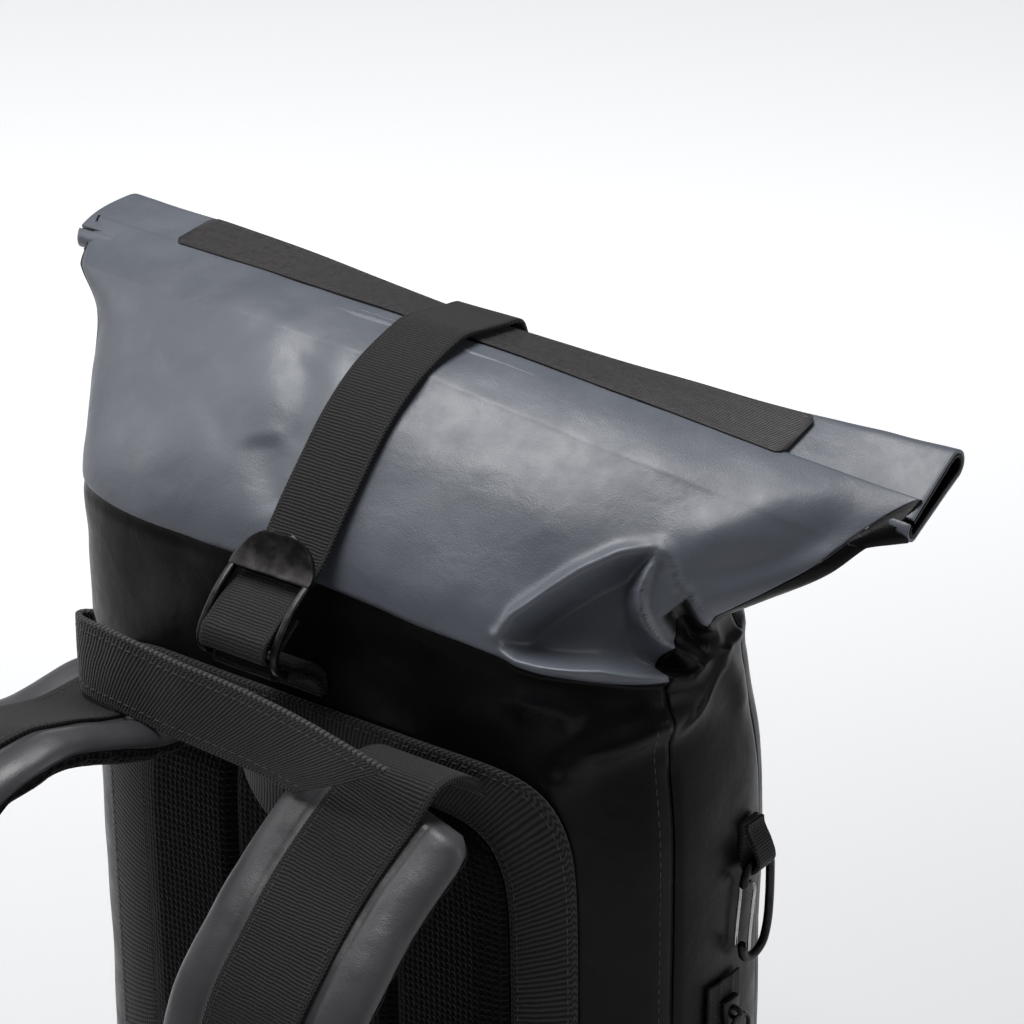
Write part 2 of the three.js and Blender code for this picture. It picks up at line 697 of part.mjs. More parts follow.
// The webbing that is sewn to the front panel and holds the clasp
const claspLowBar = CLASP_TOP - CLASP_HEIGHT;
const SECOND_LAYER = STRAP_LIFT + WEBBING + GAP;
const frontPoint = (z, out) => onStrapPlane(onFront(STRAP_X, z, out).y, z);
const loopPath = [
  frontPoint(claspLowBar - 26, STRAP_LIFT),
  frontPoint(claspLowBar - 12, STRAP_LIFT),
  onStrapPlane(claspBack, claspLowBar - 3),
  onStrapPlane(claspBack, claspLowBar + CLASP_BAR),
  onStrapPlane(claspBack + 0.9, claspLowBar + CLASP_BAR + STRAP_LIFT + 1.2),
  onStrapPlane(claspFace - 0.9, claspLowBar + CLASP_BAR + STRAP_LIFT + 1.2),
  onStrapPlane(claspFace, claspLowBar + CLASP_BAR),
  onStrapPlane(claspFace, claspLowBar - 3),
  frontPoint(claspLowBar - 14, SECOND_LAYER + 0.6),
  frontPoint(claspLowBar - 26, SECOND_LAYER),
];
add("front_loop", band(loopPath, STRAP_WIDTH, WEBBING, X_AXIS, 28), BLACK_WEBBING);

// The webbing that holds the buckle: from the back panel, round the lip bar, and down again
const lip = onBuckle(0, BUCKLE_LIP_T, BUCKLE_LIP_H);
const lipReach = BAR_DIAMETER / 2 + STRAP_LIFT + 0.3;
const ANCHOR_LOW = PAD_TOP + 6;
const backPoint = (z, out) => onStrapPlane(onBack(STRAP_X, z, out).y, z);
const anchorPath = [
  backPoint(ANCHOR_LOW, STRAP_LIFT),
  backPoint(ANCHOR_LOW + 8, STRAP_LIFT + 0.4),
  backPoint(ANCHOR_LOW + 15, 8),
  onStrapPlane(lip.y + 9, lip.z - 1.5),
  onStrapPlane(lip.y + lipReach * 0.6, lip.z + lipReach * 0.9),
  onStrapPlane(lip.y - lipReach * 0.6, lip.z + lipReach * 0.85),
  onStrapPlane(lip.y - lipReach, lip.z - lipReach * 0.3),
  onStrapPlane(lip.y - lipReach * 0.1, lip.z - lipReach),
  onStrapPlane(lip.y + 7, lip.z - 6),
  backPoint(ANCHOR_LOW + 10, 9.5),
  backPoint(ANCHOR_LOW + 4, SECOND_LAYER + 1),
  backPoint(ANCHOR_LOW, SECOND_LAYER + 0.4),
];
add("buckle_anchor", band(anchorPath, STRAP_WIDTH - 2, WEBBING, X_AXIS, 36), BLACK_WEBBING);

// The back pad: a mesh-faced pad with sewn channels, inside a flat webbing border
const PAD_MIDDLE = (PAD_TOP + PAD_BOTTOM) / 2;
const PAD_HALF_HEIGHT = (PAD_TOP - PAD_BOTTOM) / 2;
const PAD_CORNER = 0.1;
const PAD_CORNER_POWER = 10;
function onPad(u, w, inset, out) {
  const halfWide = PAD_HALF_WIDTH - inset;
  const halfHigh = PAD_HALF_HEIGHT - inset;
  const x = halfWide * u * (1 - PAD_CORNER * Math.pow(Math.abs(w), PAD_CORNER_POWER));
  const up = halfHigh * w * (1 - PAD_CORNER * 0.7 * Math.pow(Math.abs(u), PAD_CORNER_POWER));
  return onBack(x, PAD_MIDDLE + up, out);
}
const PAD_SHARES = [-1, -0.96, -0.86, -0.7, -0.46, -0.4, -0.2, 0.2, 0.4, 0.46, 0.7, 0.86, 0.96, 1];
const PAD_ROWS = [-1, -0.96, -0.88, -0.7, -0.35, 0, 0.35, 0.7, 0.88, 0.96, 1];
const PAD_SEAT = 2 * GAP;
const CHANNEL = 0.43;
function padThickness(u, w) {
  const edge = Math.min(1, (1 - Math.max(Math.abs(u), Math.abs(w))) / 0.12);
  const groove = Math.abs(Math.abs(u) - CHANNEL) < 0.05 ? 0.45 : 1;
  return BORDER_THICKNESS + (PAD_THICKNESS - BORDER_THICKNESS) * Math.sqrt(edge) * groove;
}
const padGrid = (out) =>
  PAD_ROWS.map((w) => PAD_SHARES.map((u) => onPad(u, w, PAD_BORDER + GAP, out(u, w))));
add("back_pad", sheetBetween(padGrid(padThickness), padGrid(() => PAD_SEAT)), PAD_MESH);

const borderLoop = [
  ...PAD_SHARES.map((u) => [u, -1]),
  ...PAD_ROWS.slice(1).map((w) => [1, w]),
  ...PAD_SHARES.toReversed().slice(1).map((u) => [u, 1]),
  ...PAD_ROWS.toReversed().slice(1, -1).map((w) => [-1, w]),
];
const BORDER_INSETS = [0, 0.5, 1];
const borderGrid = (out) =>
  BORDER_INSETS.map((t) => borderLoop.map(([u, w]) => onPad(u, w, t * PAD_BORDER, out)));
add(
  "pad_border",
  sheetBetween(borderGrid(BORDER_THICKNESS), borderGrid(PAD_SEAT), true),
  BLACK_WEBBING,
);

// The harness hangs from here: its straps leave the back at this height
const STRAP_DROP = 14;
const SHOULDER_TOP = PAD_TOP - STRAP_DROP;
const behind = (out) => -(BODY_DEPTH / 2 + out);

// The haul handle: wide webbing that stands off the back and rests on both shoulder straps.
// along: share of HANDLE_LENGTH, out: share of HANDLE_REACH from the body, up: share of HANDLE_WIDTH.
const HANDLE_TABLE = [
  { along: -0.41, out: 0.6, up: 0.1 },
  { along: -0.446, out: 0.68, up: 0.1 },
  { along: -0.42, out: 0.78, up: 0.14 },
  { along: -0.3, out: 0.88, up: 0.2 },
  { along: -0.16, out: 0.92, up: 0.17 },
  { along: 0.15, out: 0.91, up: 0.05 },
  { along: 0.34, out: 0.97, up: -0.05 },
  { along: 0.506, out: 1, up: -0.16 },
];
const HANDLE_UP = 21;
const HANDLE_STEPS = 18;
// Where each line of the webbing starts and ends, from its lower edge to its upper one
const HANDLE_CUT = [
  { height: -0.5, start: 0, end: 0.72 },
  { height: 0, start: 0, end: 0.87 },
  { height: 0.5, start: 0.02, end: 1 },
];
function webbingSheet(table, rise, width, cut, thickness) {
  const path = table.map(({ along, out, up }) =>
    vec(
      HARNESS_X + along * HANDLE_LENGTH,
      behind(out * HANDLE_REACH),
      SHOULDER_TOP + rise + up * width,
    ));
  const line = new THREE.CatmullRomCurve3(path, false, "centripetal");
  const grid = (out) =>
    Array.from({ length: HANDLE_STEPS + 1 }, (_, i) =>
      cut.map(({ height, start, end }) => {
        const t = mix(start, end, i / HANDLE_STEPS);
        const along = line.getTangentAt(t);
        const normal = vec(along.y, -along.x, 0).normalize();
        return line.getPointAt(t).addScaledVector(Z_AXIS, height * width).addScaledVector(normal, out);
      }));
  return sheetBetween(grid(thickness / 2), grid(-thickness / 2));
}
add(
  "haul_handle",
  webbingSheet(HANDLE_TABLE, HANDLE_UP, HANDLE_WIDTH, HANDLE_CUT, HANDLE_THICKNESS),
  BLACK_WEBBING,
);

// The second layer of webbing that shows below the handle
const UNDERLAY_TABLE = [
  { along: -0.13, out: 0.14, up: 0.1 },
  { along: -0.09, out: 0.28, up: 0.03 },
  { along: -0.03, out: 0.42, up: -0.12 },
  { along: 0.03, out: 0.49, up: -0.27 },
  { along: 0.09, out: 0.51, up: -0.42 },
];
const UNDERLAY_CUT = [
  { height: -0.5, start: 0, end: 0.96 },
  { height: 0, start: 0, end: 0.98 },
  { height: 0.5, start: 0, end: 1 },
];
add(
  "handle_underlay",
  webbingSheet(UNDERLAY_TABLE, 0, HANDLE_WIDTH, UNDERLAY_CUT, WEBBING),
  BLACK_WEBBING,
);

// The shoulder straps: padded, standing off the back in a bow down to their adjusters.
// x: share of SHOULDER_SPACING, out: share of SHOULDER_BOW from the body, up: share of SHOULDER_TOP.
const STRAP_RIGHT = [
  { x: 0.48, out: 0.27, up: 1.026 },
  { x: 0.46, out: 0.36, up: 1 },
  { x: 0.43, out: 0.564, up: 0.937 },
  { x: 0.423, out: 0.736, up: 0.881 },
  { x: 0.407, out: 0.89, up: 0.809 },
  { x: 0.4, out: 0.964, up: 0.71 },
  { x: 0.42, out: 0.927, up: 0.594 },
  { x: 0.46, out: 0.782, up: 0.462 },
  { x: 0.507, out: 0.582, up: 0.343 },
];
const STRAP_LEFT = [
  { x: -0.427, out: 0.064, up: 0.99 },
  { x: -0.427, out: 0.273, up: 0.995 },
  { x: -0.433, out: 0.473, up: 1 },
  { x: -0.44, out: 0.682, up: 1.02 },
  { x: -0.453, out: 0.909, up: 1.033 },
  { x: -0.493, out: 1.091, up: 1.017 },
  { x: -0.553, out: 1.245, up: 0.957 },
  { x: -0.62, out: 1.336, up: 0.865 },
  { x: -0.667, out: 1.327, up: 0.752 },
  { x: -0.673, out: 1.218, up: 0.62 },
  { x: -0.627, out: 0.955, up: 0.479 },
  { x: -0.533, out: 0.636, up: 0.35 },
];
const strapPath = (table) =>
  table.map(({ x, out, up }) =>
    vec(HARNESS_X + x * SHOULDER_SPACING, behind(out * SHOULDER_BOW), up * SHOULDER_TOP));
const ACROSS_RIGHT = X_AXIS;
const TWIST = 0.25;
const acrossLeft = (u) => vec(1, 0, TWIST * Math.max(0, 1 - Math.abs(u - 0.24) / 0.24)).normalize();

// The padded section: half width and half thickness as shares, on the outer face then the inner one
const PADDED_RING = [
  { side: -1, out: 0.1 },
  { side: -0.94, out: 0.75 },
  { side: -0.6, out: 1 },
  { side: 0, out: 1 },
  { side: 0.6, out: 1 },
  { side: 0.94, out: 0.75 },
  { side: 1, out: 0.1 },
  { side: 0.93, out: -0.8 },
  { side: 0, out: -1 },
  { side: -0.93, out: -0.8 },
];
const STRAP_ENDS = [
  { u: 0, wide: 0.86 },
  { u: 0.03, wide: 0.97 },
  { u: 0.07, wide: 1 },
  { u: 0.55, wide: 1 },
  { u: 0.8, wide: 0.9 },
  { u: 0.94, wide: 0.72 },
  { u: 1, wide: 0.5 },
];
const STRAP_STEPS = 24;
const padded = (table, across) =>
  loft(
    stations(strapPath(table), STRAP_STEPS, across).map((s) => {
      const wide = lookUp(STRAP_ENDS, "u", s.u, "wide") * (SHOULDER_WIDTH / 2);
      return PADDED_RING.map(({ side, out }) =>
        place(s, side * wide, (-out * SHOULDER_THICKNESS) / 2));
    }),
  );
add("shoulder_strap_right", padded(STRAP_RIGHT, ACROSS_RIGHT), STRAP_COATED);
add("shoulder_strap_left", padded(STRAP_LEFT, acrossLeft), STRAP_COATED);

// The webbing along each strap's outer face, from the back panel to the adjuster below the pad
const WEBBING_LIFT = SHOULDER_THICKNESS / 2 + STRAP_LIFT + 2 * GAP;
function strapWebbing(table, across, root) {
  const face = stations(strapPath(table), STRAP_STEPS, across).slice(1, -1);
  const lifted = [...root, place(face[0], 0, -WEBBING_LIFT)];
  const start = root.map((at, i) => {
    const along = lifted[i + 1].clone().sub(lifted[Math.max(i - 1, 0)]).normalize();
    return { at, side: X_AXIS, normal: vec(0, 0, 0).crossVectors(X_AXIS, along) };
  });
  const ring = (s, lift) =>
    [[-1, -1], [0, -1], [1, -1], [1, 1], [0, 1], [-1, 1]].map(([side, up]) =>
      place(s, (side * SHOULDER_WEBBING) / 2, (up * WEBBING) / 2 - lift));
  return loft([...start.map((s) => ring(s, 0)), ...face.map((s) => ring(s, WEBBING_LIFT))]);
}
const rightRootX = HARNESS_X + SHOULDER_SPACING * 0.48;
const leftRootX = HARNESS_X - SHOULDER_SPACING * 0.427;
const ROOT_RISE = 8;
add(
  "strap_webbing_right",
  strapWebbing(STRAP_RIGHT, ACROSS_RIGHT, [
    vec(rightRootX, behind(BORDER_THICKNESS + 3.4), SHOULDER_TOP + ROOT_RISE * 0.4),
    vec(rightRootX, behind(SHOULDER_BOW * 0.1), SHOULDER_TOP + ROOT_RISE * 1.4),
    vec(rightRootX, behind(SHOULDER_BOW * 0.2), SHOULDER_TOP + ROOT_RISE * 2.2),
    vec(rightRootX, behind(SHOULDER_BOW * 0.31), SHOULDER_TOP + ROOT_RISE * 2.3),
  ]),
  BLACK_WEBBING,
);
add(
  "strap_webbing_left",
  strapWebbing(STRAP_LEFT, acrossLeft, [
    vec(leftRootX, behind(BORDER_THICKNESS + 3), SHOULDER_TOP + ROOT_RISE),
  ]),
  BLACK_WEBBING,
);

// Below each strap: an adjuster in its webbing's end, the narrower webbing below it, and the fabric
// wing in the side seam that holds that webbing. side is 1 on the right and -1 on the left.
const ADJUSTER_METAL = 2.4;
const ADJUSTER_BAR = 4;
const ADJUSTER_SLOT = 5;
const ADJUSTER_HEIGHT = 3 * ADJUSTER_BAR + 2 * ADJUSTER_SLOT;
const ADJUSTER_RIM = 3;
const WING_ROOT_Z = 34;
const WING_TIP_Z = 42;
const WING_LENGTH = 40;
const WING_THICKNESS = 2;
const LOWER_LAP = 16;
function adjusterShape() {
  const top = SHOULDER_WEBBING / 2 + ADJUSTER_RIM;
  const low = LOWER_WEBBING / 2 + ADJUSTER_RIM;
  const shape = new THREE.Shape();
  shape.moveTo(-low, -ADJUSTER_HEIGHT / 2);
  shape.lineTo(low, -ADJUSTER_HEIGHT / 2);
  shape.lineTo(top, ADJUSTER_BAR / 4);
  shape.lineTo(top, ADJUSTER_HEIGHT / 2);
  shape.lineTo(-top, ADJUSTER_HEIGHT / 2);
  shape.lineTo(-top, ADJUSTER_BAR / 4);
  shape.closePath();
  const slots = [
    { half: SHOULDER_WEBBING / 2 + 0.6, foot: ADJUSTER_HEIGHT / 2 - ADJUSTER_BAR - ADJUSTER_SLOT },
    { half: LOWER_WEBBING / 2 + 0.6, foot: -ADJUSTER_HEIGHT / 2 + ADJUSTER_BAR },
  ];
  for (const { half, foot } of slots) {
    shape.holes.push(rectangle(new THREE.Path(), half, foot, foot + ADJUSTER_SLOT));
  }
  return shape;
}
function lowerHarness(table, across, side, name) {
  const path = strapPath(table);
  const [before, end] = path.slice(-2);
  const root = onBack(side * BODY_WIDTH * 0.482, WING_ROOT_Z, WING_THICKNESS + GAP);
  const tip = vec(side * BODY_WIDTH * 0.43, root.y - WING_LENGTH * 0.93, WING_TIP_Z);
  const toTip = tip.clone().sub(end).normalize();
  const down = end.clone().sub(before).normalize().add(toTip).normalize();
  const sideways = across.clone().addScaledVector(down, -across.dot(down)).normalize();
  const out = vec(0, 0, 0).crossVectors(down, sideways).normalize();
  const middle = end.clone().addScaledVector(down, ADJUSTER_HEIGHT * 0.8).addScaledVector(out, WEBBING_LIFT);
  const at = (low, up) => middle.clone().addScaledVector(down, low).addScaledVector(out, up);
  const extruded = { depth: ADJUSTER_METAL, bevelEnabled: false };
  const frame = merged(new THREE.ExtrudeGeometry(adjusterShape(), extruded))
    .translate(0, 0, -ADJUSTER_METAL / 2)
    .applyMatrix4(new THREE.Matrix4().makeBasis(sideways, down.clone().negate(), out))
    .translate(middle.x, middle.y, middle.z);
  add(`strap_adjuster_${name}`, frame, GUNMETAL);

  const along = tip.clone().sub(root).normalize();
  const face = vec(along.y, -along.x, 0).multiplyScalar(side).normalize();
  const wingGrid = (lift) =>
    [{ s: 0, half: 20 }, { s: 0.5, half: 17 }, { s: 1, half: 14 }].map(({ s, half }) =>
      [-1, 0, 1].map((up) =>
        root.clone().lerp(tip, s).addScaledVector(Z_AXIS, up * half).addScaledVector(face, lift)));
  const wingWall = sheetBetween(wingGrid(WING_THICKNESS / 2), wingGrid(-WING_THICKNESS / 2));
  add(`strap_wing_${name}`, wingWall, BLACK_COATED);

  const lap = WING_THICKNESS / 2 + STRAP_LIFT;
  const onWing = (s) => tip.clone().addScaledVector(along, -s).addScaledVector(face, lap);
  const slotAt = ADJUSTER_HEIGHT / 2 - ADJUSTER_BAR - ADJUSTER_SLOT / 2;
  const clear = ADJUSTER_METAL / 2 + STRAP_LIFT + 0.8;
  const lowerPath = [
    at(slotAt - 14, -clear),
    at(slotAt - 2.4, -clear),
    at(slotAt, 0),
    at(slotAt + 2.4, clear),
    at(slotAt + 20, clear * 0.5),
    onWing(-LOWER_LAP),
    onWing(0),
    onWing(LOWER_LAP),
  ];
  const upright = Z_AXIS.clone().multiplyScalar(side);
  const turn = (u) => sideways.clone().lerp(upright, THREE.MathUtils.smoothstep(u, 0.3, 0.75));
  add(`lower_webbing_${name}`, band(lowerPath, LOWER_WEBBING, WEBBING, turn, 24), BLACK_WEBBING);
}
lowerHarness(STRAP_RIGHT, ACROSS_RIGHT, 1, "right");
lowerHarness(STRAP_LEFT, X_AXIS, -1, "left");

// The clip on the right side: a webbing tab, a rod frame and a wire gate, all in one upright plane
const CLIP_OUT = 5;
const CLIP_X = BODY_WIDTH / 2 + CLIP_OUT;
const CLIP_BOTTOM = CLIP_TOP - CLIP_HEIGHT;
const GATE_Y = CLIP_Y - CLIP_WIDTH / 2;
const SPINE_Y = CLIP_Y + CLIP_WIDTH / 2;
const HINGE_Z = CLIP_BOTTOM + 7;
const NOSE_Z = CLIP_TOP - 9;
const clipPoint = (y, z) => vec(CLIP_X, y, z);
const clipPath = [
  clipPoint(GATE_Y, NOSE_Z),
  clipPoint(GATE_Y + 0.6, CLIP_TOP - 4.5),
  clipPoint(GATE_Y + 4, CLIP_TOP - 0.6),
  clipPoint(SPINE_Y - 4, CLIP_TOP),
  clipPoint(SPINE_Y - 0.6, CLIP_TOP - 3.6),
  clipPoint(SPINE_Y, CLIP_TOP - 9),
  clipPoint(SPINE_Y - 1, CLIP_BOTTOM + 10),
  clipPoint(SPINE_Y - 4.4, CLIP_BOTTOM + 2.4),
  clipPoint(GATE_Y + 6, CLIP_BOTTOM),
  clipPoint(GATE_Y + 1.4, CLIP_BOTTOM + 2.2),
  clipPoint(GATE_Y, HINGE_Z - 1),
  clipPoint(GATE_Y, HINGE_Z + 2.6),
];
const PIN_PLAY = 0.06;
const hinge = new THREE.CylinderGeometry(
  GATE_WIRE / 2 + PIN_PLAY, GATE_WIRE / 2 + PIN_PLAY, 2 * CLIP_ROD, 12,
)
  .rotateZ(Math.PI / 2)
  .translate(CLIP_X, GATE_Y, HINGE_Z);
add(
  "carabiner_frame",
  geometryOf(solid(rod(clipPath, CLIP_ROD, 10, 26)).subtract(solid(hinge))),
  GUNMETAL,
);

const GATE_SIDE = CLIP_ROD / 2 + 2 * GAP + GATE_WIRE / 2;
const gateTop = NOSE_Z + 2.4;
const gateInner = GATE_Y + CLIP_ROD / 2 + GAP + GATE_WIRE / 2;
const gatePath = [
  vec(CLIP_X - GATE_WIRE * 0.2, GATE_Y, HINGE_Z),
  vec(CLIP_X - CLIP_ROD / 2, GATE_Y, HINGE_Z),
  vec(CLIP_X - GATE_SIDE + 0.3, GATE_Y, HINGE_Z),
  vec(CLIP_X - GATE_SIDE, GATE_Y, HINGE_Z + 0.5),
  vec(CLIP_X - GATE_SIDE, GATE_Y + 0.2, HINGE_Z + 6),
  vec(CLIP_X - GATE_SIDE, gateInner - 0.6, gateTop - 7),
  vec(CLIP_X - GATE_SIDE, gateInner, gateTop - 2),
  vec(CLIP_X - GATE_SIDE * 0.6, gateInner + 0.1, gateTop),
  vec(CLIP_X + GATE_SIDE * 0.6, gateInner + 0.1, gateTop),
  vec(CLIP_X + GATE_SIDE, gateInner, gateTop - 2),
  vec(CLIP_X + GATE_SIDE, gateInner - 0.6, gateTop - 7),
  vec(CLIP_X + GATE_SIDE, GATE_Y + 0.2, HINGE_Z + 6),
  vec(CLIP_X + GATE_SIDE, GATE_Y, HINGE_Z + 0.5),
  vec(CLIP_X + GATE_SIDE - 0.3, GATE_Y, HINGE_Z),
  vec(CLIP_X + CLIP_ROD / 2, GATE_Y, HINGE_Z),
  vec(CLIP_X + GATE_WIRE * 0.2, GATE_Y, HINGE_Z),
];
add("wire_gate", rod(gatePath, GATE_WIRE, 8, 44), STEEL);

const tabX = onSide(CLIP_Y, CLIP_TOP + 8).x + STRAP_LIFT;
const tabDrop = CLIP_ROD / 2 + STRAP_LIFT + 1;
const tabPath = [
  vec(tabX, CLIP_Y, CLIP_TOP + TAB_HEIGHT),
  vec(tabX + 0.1, CLIP_Y, CLIP_TOP + TAB_HEIGHT * 0.5),
  vec(tabX + 0.2, CLIP_Y, CLIP_TOP + 1),
  vec(CLIP_X - tabDrop * 0.75, CLIP_Y, CLIP_TOP - tabDrop * 0.85),
  vec(CLIP_X, CLIP_Y, CLIP_TOP - tabDrop - 0.4),
  vec(CLIP_X + tabDrop, CLIP_Y, CLIP_TOP),
  vec(CLIP_X + tabDrop * 0.6, CLIP_Y, CLIP_TOP + 6),
  vec(tabX + WEBBING + GAP + 1, CLIP_Y, CLIP_TOP + TAB_HEIGHT * 0.8),
  vec(tabX + WEBBING + GAP + 0.5, CLIP_Y, CLIP_TOP + TAB_HEIGHT),
];
add("side_tab", band(tabPath, TAB_WIDTH, WEBBING, Y_AXIS, 26), BLACK_WEBBING);

// The side zip below the clip: its tape, and a slider with a ring pull
const ZIP_Y = -3;
const ZIP_TAPE = 1.4;
const zipRows = Array.from({ length: 7 }, (_, i) => mix(ZIP_BOTTOM, ZIP_TOP, i / 6));
const zipGrid = (out) =>
  zipRows.map((z) => [-0.5, 0, 0.5].map((t) => onSide(ZIP_Y + t * ZIP_WIDTH, z, out)));
add("zip_tape", sheetBetween(zipGrid(ZIP_SEAT + ZIP_TAPE), zipGrid(ZIP_SEAT)), BLACK_WEBBING);

const SLIDER_HEIGHT = 14;
const SLIDER_WIDTH = 9;
const SLIDER_THICKNESS = 3.2;
const LUG_THICKNESS = 2.2;
const LUG_REACH = 6;
const LUG_HOLE = 3.2;
const PULL_DIAMETER = 14;
const PULL_ROD = 1.8;
const sliderSeat = onSide(ZIP_Y, ZIP_TOP - SLIDER_HEIGHT, ZIP_SEAT + ZIP_TAPE + GAP);
const sliderBlock = new THREE.BoxGeometry(SLIDER_THICKNESS, SLIDER_WIDTH, SLIDER_HEIGHT)
  .translate(sliderSeat.x + SLIDER_THICKNESS / 2, ZIP_Y, sliderSeat.z);
const lugShape = new THREE.Shape();
lugShape.moveTo(0, -LUG_REACH / 2);
lugShape.lineTo(LUG_REACH, -LUG_REACH / 2);
lugShape.lineTo(LUG_REACH, LUG_REACH / 2);
lugShape.lineTo(0, LUG_REACH / 2);
lugShape.closePath();
lugShape.holes.push(new THREE.Path().absarc(LUG_REACH / 2 + 0.6, 0, LUG_HOLE / 2, 0, Math.PI * 2, true));
const lugX = sliderSeat.x + SLIDER_THICKNESS - 0.6;
const lugZ = sliderSeat.z + 1;
const sliderLug = new THREE.ExtrudeGeometry(lugShape, {
  depth: LUG_THICKNESS,
  curveSegments: 5,
  bevelEnabled: false,
})
  .rotateX(Math.PI / 2)
  .translate(lugX, ZIP_Y + LUG_THICKNESS / 2, lugZ);
add("zip_slider", joined(sliderBlock, sliderLug), GUNMETAL);
add(
  "zip_pull",
  merged(
    new THREE.TorusGeometry((PULL_DIAMETER - PULL_ROD) / 2, PULL_ROD / 2, 6, 16)
      .rotateY(Math.PI / 2)
      .translate(lugX + LUG_REACH / 2 + 0.6, ZIP_Y, lugZ - (PULL_DIAMETER - PULL_ROD) / 2),
  ),
  GUNMETAL,
);

export default backpack;
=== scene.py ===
import math

import bmesh
import bpy
import numpy as np
from mathutils import Matrix, Vector, noise


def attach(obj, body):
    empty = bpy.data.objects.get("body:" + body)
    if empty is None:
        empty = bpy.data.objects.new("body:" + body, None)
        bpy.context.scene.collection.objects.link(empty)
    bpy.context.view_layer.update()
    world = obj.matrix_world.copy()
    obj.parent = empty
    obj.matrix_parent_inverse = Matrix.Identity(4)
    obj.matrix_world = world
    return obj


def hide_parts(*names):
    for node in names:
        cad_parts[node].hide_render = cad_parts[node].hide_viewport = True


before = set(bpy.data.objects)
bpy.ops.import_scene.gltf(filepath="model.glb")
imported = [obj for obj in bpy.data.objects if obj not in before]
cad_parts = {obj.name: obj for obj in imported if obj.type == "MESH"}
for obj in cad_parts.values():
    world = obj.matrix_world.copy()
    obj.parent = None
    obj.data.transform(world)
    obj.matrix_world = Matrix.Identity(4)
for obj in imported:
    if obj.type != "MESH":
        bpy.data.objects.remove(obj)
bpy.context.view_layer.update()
MM = 0.001

# The camera faces the worn side from its right and above, and looks down at the roll and the hood. The
# lower part of the bag is past the frame's edge.
AZIMUTH = math.radians(36.1)
ELEVATION = math.radians(25.7)
LOOKED_AT = Vector((0.0216, 0.0295, 0.366))
STAND_BACK = 1.539
SENSOR_WIDTH = 36
FOCAL_LENGTH = 142.7
towards_camera = Vector((
    math.sin(AZIMUTH) * math.cos(ELEVATION),
    -math.cos(AZIMUTH) * math.cos(ELEVATION),
    math.sin(ELEVATION),
))
lens = bpy.data.cameras.new("camera")
lens.sensor_width = SENSOR_WIDTH
lens.lens = FOCAL_LENGTH
lens.clip_start = 0.05
lens.clip_end = 40
camera = bpy.data.objects.new("camera", lens)
camera.location = LOOKED_AT + towards_camera * STAND_BACK
camera.rotation_mode = "QUATERNION"
camera.rotation_quaternion = (-towards_camera).to_track_quat("-Z", "Y")
bpy.context.scene.collection.objects.link(camera)
bpy.context.scene.camera = camera
bpy.context.scene.view_settings.view_transform = "Standard"


# The floor is a wide pale sheet that the bag stands on, with a very fine grain. Beyond the bag it is lit
# from within, more the further away, so that the background stays nearly white.
def new_finish(name):
    """A node-based finish, with its node tree and its shader."""
    finish = bpy.data.materials.new(name)
    finish.use_nodes = True
    return finish, finish.node_tree, finish.node_tree.nodes["Principled BSDF"]


def add_node(tree, kind, inputs, settings=None):
    """A node whose sockets hold a value or take another node's output."""
    node = tree.nodes.new(kind)
    for key, value in (settings or {}).items():
        setattr(node, key, value)
    for key, value in inputs.items():
        if isinstance(value, bpy.types.NodeSocket):
            tree.links.new(value, node.inputs[key])
        else:
            node.inputs[key].default_value = value
    return node


def reckon(tree, how, *values):
    """One step of arithmetic in a finish."""
    return add_node(tree, "ShaderNodeMath", dict(enumerate(values)), {"operation": how}).outputs[0]


def between(tree, value, low, high, to_low=0.0, to_high=1.0):
    """A value carried smoothly from one range to another."""
    ranges = {"Value": value, "From Min": low, "From Max": high, "To Min": to_low, "To Max": to_high}
    node = add_node(tree, "ShaderNodeMapRange", ranges, {"interpolation_type": "SMOOTHSTEP"})
    return node.outputs["Result"]


def shade(tree, share, dark, light):
    """A colour between a dark and a light one."""
    node = add_node(tree, "ShaderNodeMix", {"Factor": share}, {"data_type": "RGBA"})
    node.inputs["A"].default_value = (*dark, 1)
    node.inputs["B"].default_value = (*light, 1)
    return node.outputs["Result"]


def grain(tree, where, scale, detail=3.0, roughness=0.5, distortion=0.0):
    """Irregular grain, of so many patches to the metre."""
    node = add_node(tree, "ShaderNodeTexNoise", {
        "Vector": where, "Scale": scale, "Detail": detail, "Roughness": roughness, "Distortion": distortion,
    })
    return node.outputs["Fac"]


def raise_surface(tree, shader, *layers):
    """Relief from layers of (height, distance in metres), one over the other."""
    below = None
    for height, distance in layers:
        inputs = {"Height": height, "Distance": distance, "Strength": 1.0}
        if below:
            inputs["Normal"] = below
        below = add_node(tree, "ShaderNodeBump", inputs).outputs["Normal"]
    tree.links.new(below, shader.inputs["Normal"])


FLOOR_TONES = ((0.78, 0.785, 0.8), (0.82, 0.825, 0.835))
FLOOR_SIZE = 9
AWAY_X, AWAY_Y = -0.589, 0.808
GLOW_FROM, GLOW_TO, GLOW = 0.1, 1.2, 0.5
floor_finish, tree, shader = new_finish("pale_floor")
where = add_node(tree, "ShaderNodeTexCoord", {}).outputs["Object"]
tree.links.new(shade(tree, grain(tree, where, 3.0), *FLOOR_TONES), shader.inputs["Base Color"])
shader.inputs["Roughness"].default_value = 0.9
shader.inputs["Specular IOR Level"].default_value = 0.1
shader.inputs["Emission Color"].default_value = (0.97, 0.98, 1.0, 1)
flat = add_node(tree, "ShaderNodeSeparateXYZ", {"Vector": where})
beyond = reckon(tree, "MULTIPLY", flat.outputs["Y"], AWAY_Y)
beyond = reckon(tree, "MULTIPLY_ADD", flat.outputs["X"], AWAY_X, beyond)
tree.links.new(between(tree, beyond, GLOW_FROM, GLOW_TO, 0.0, GLOW), shader.inputs["Emission Strength"])
raise_surface(tree, shader, (grain(tree, where, 400.0), 0.0001))
bm = bmesh.new()
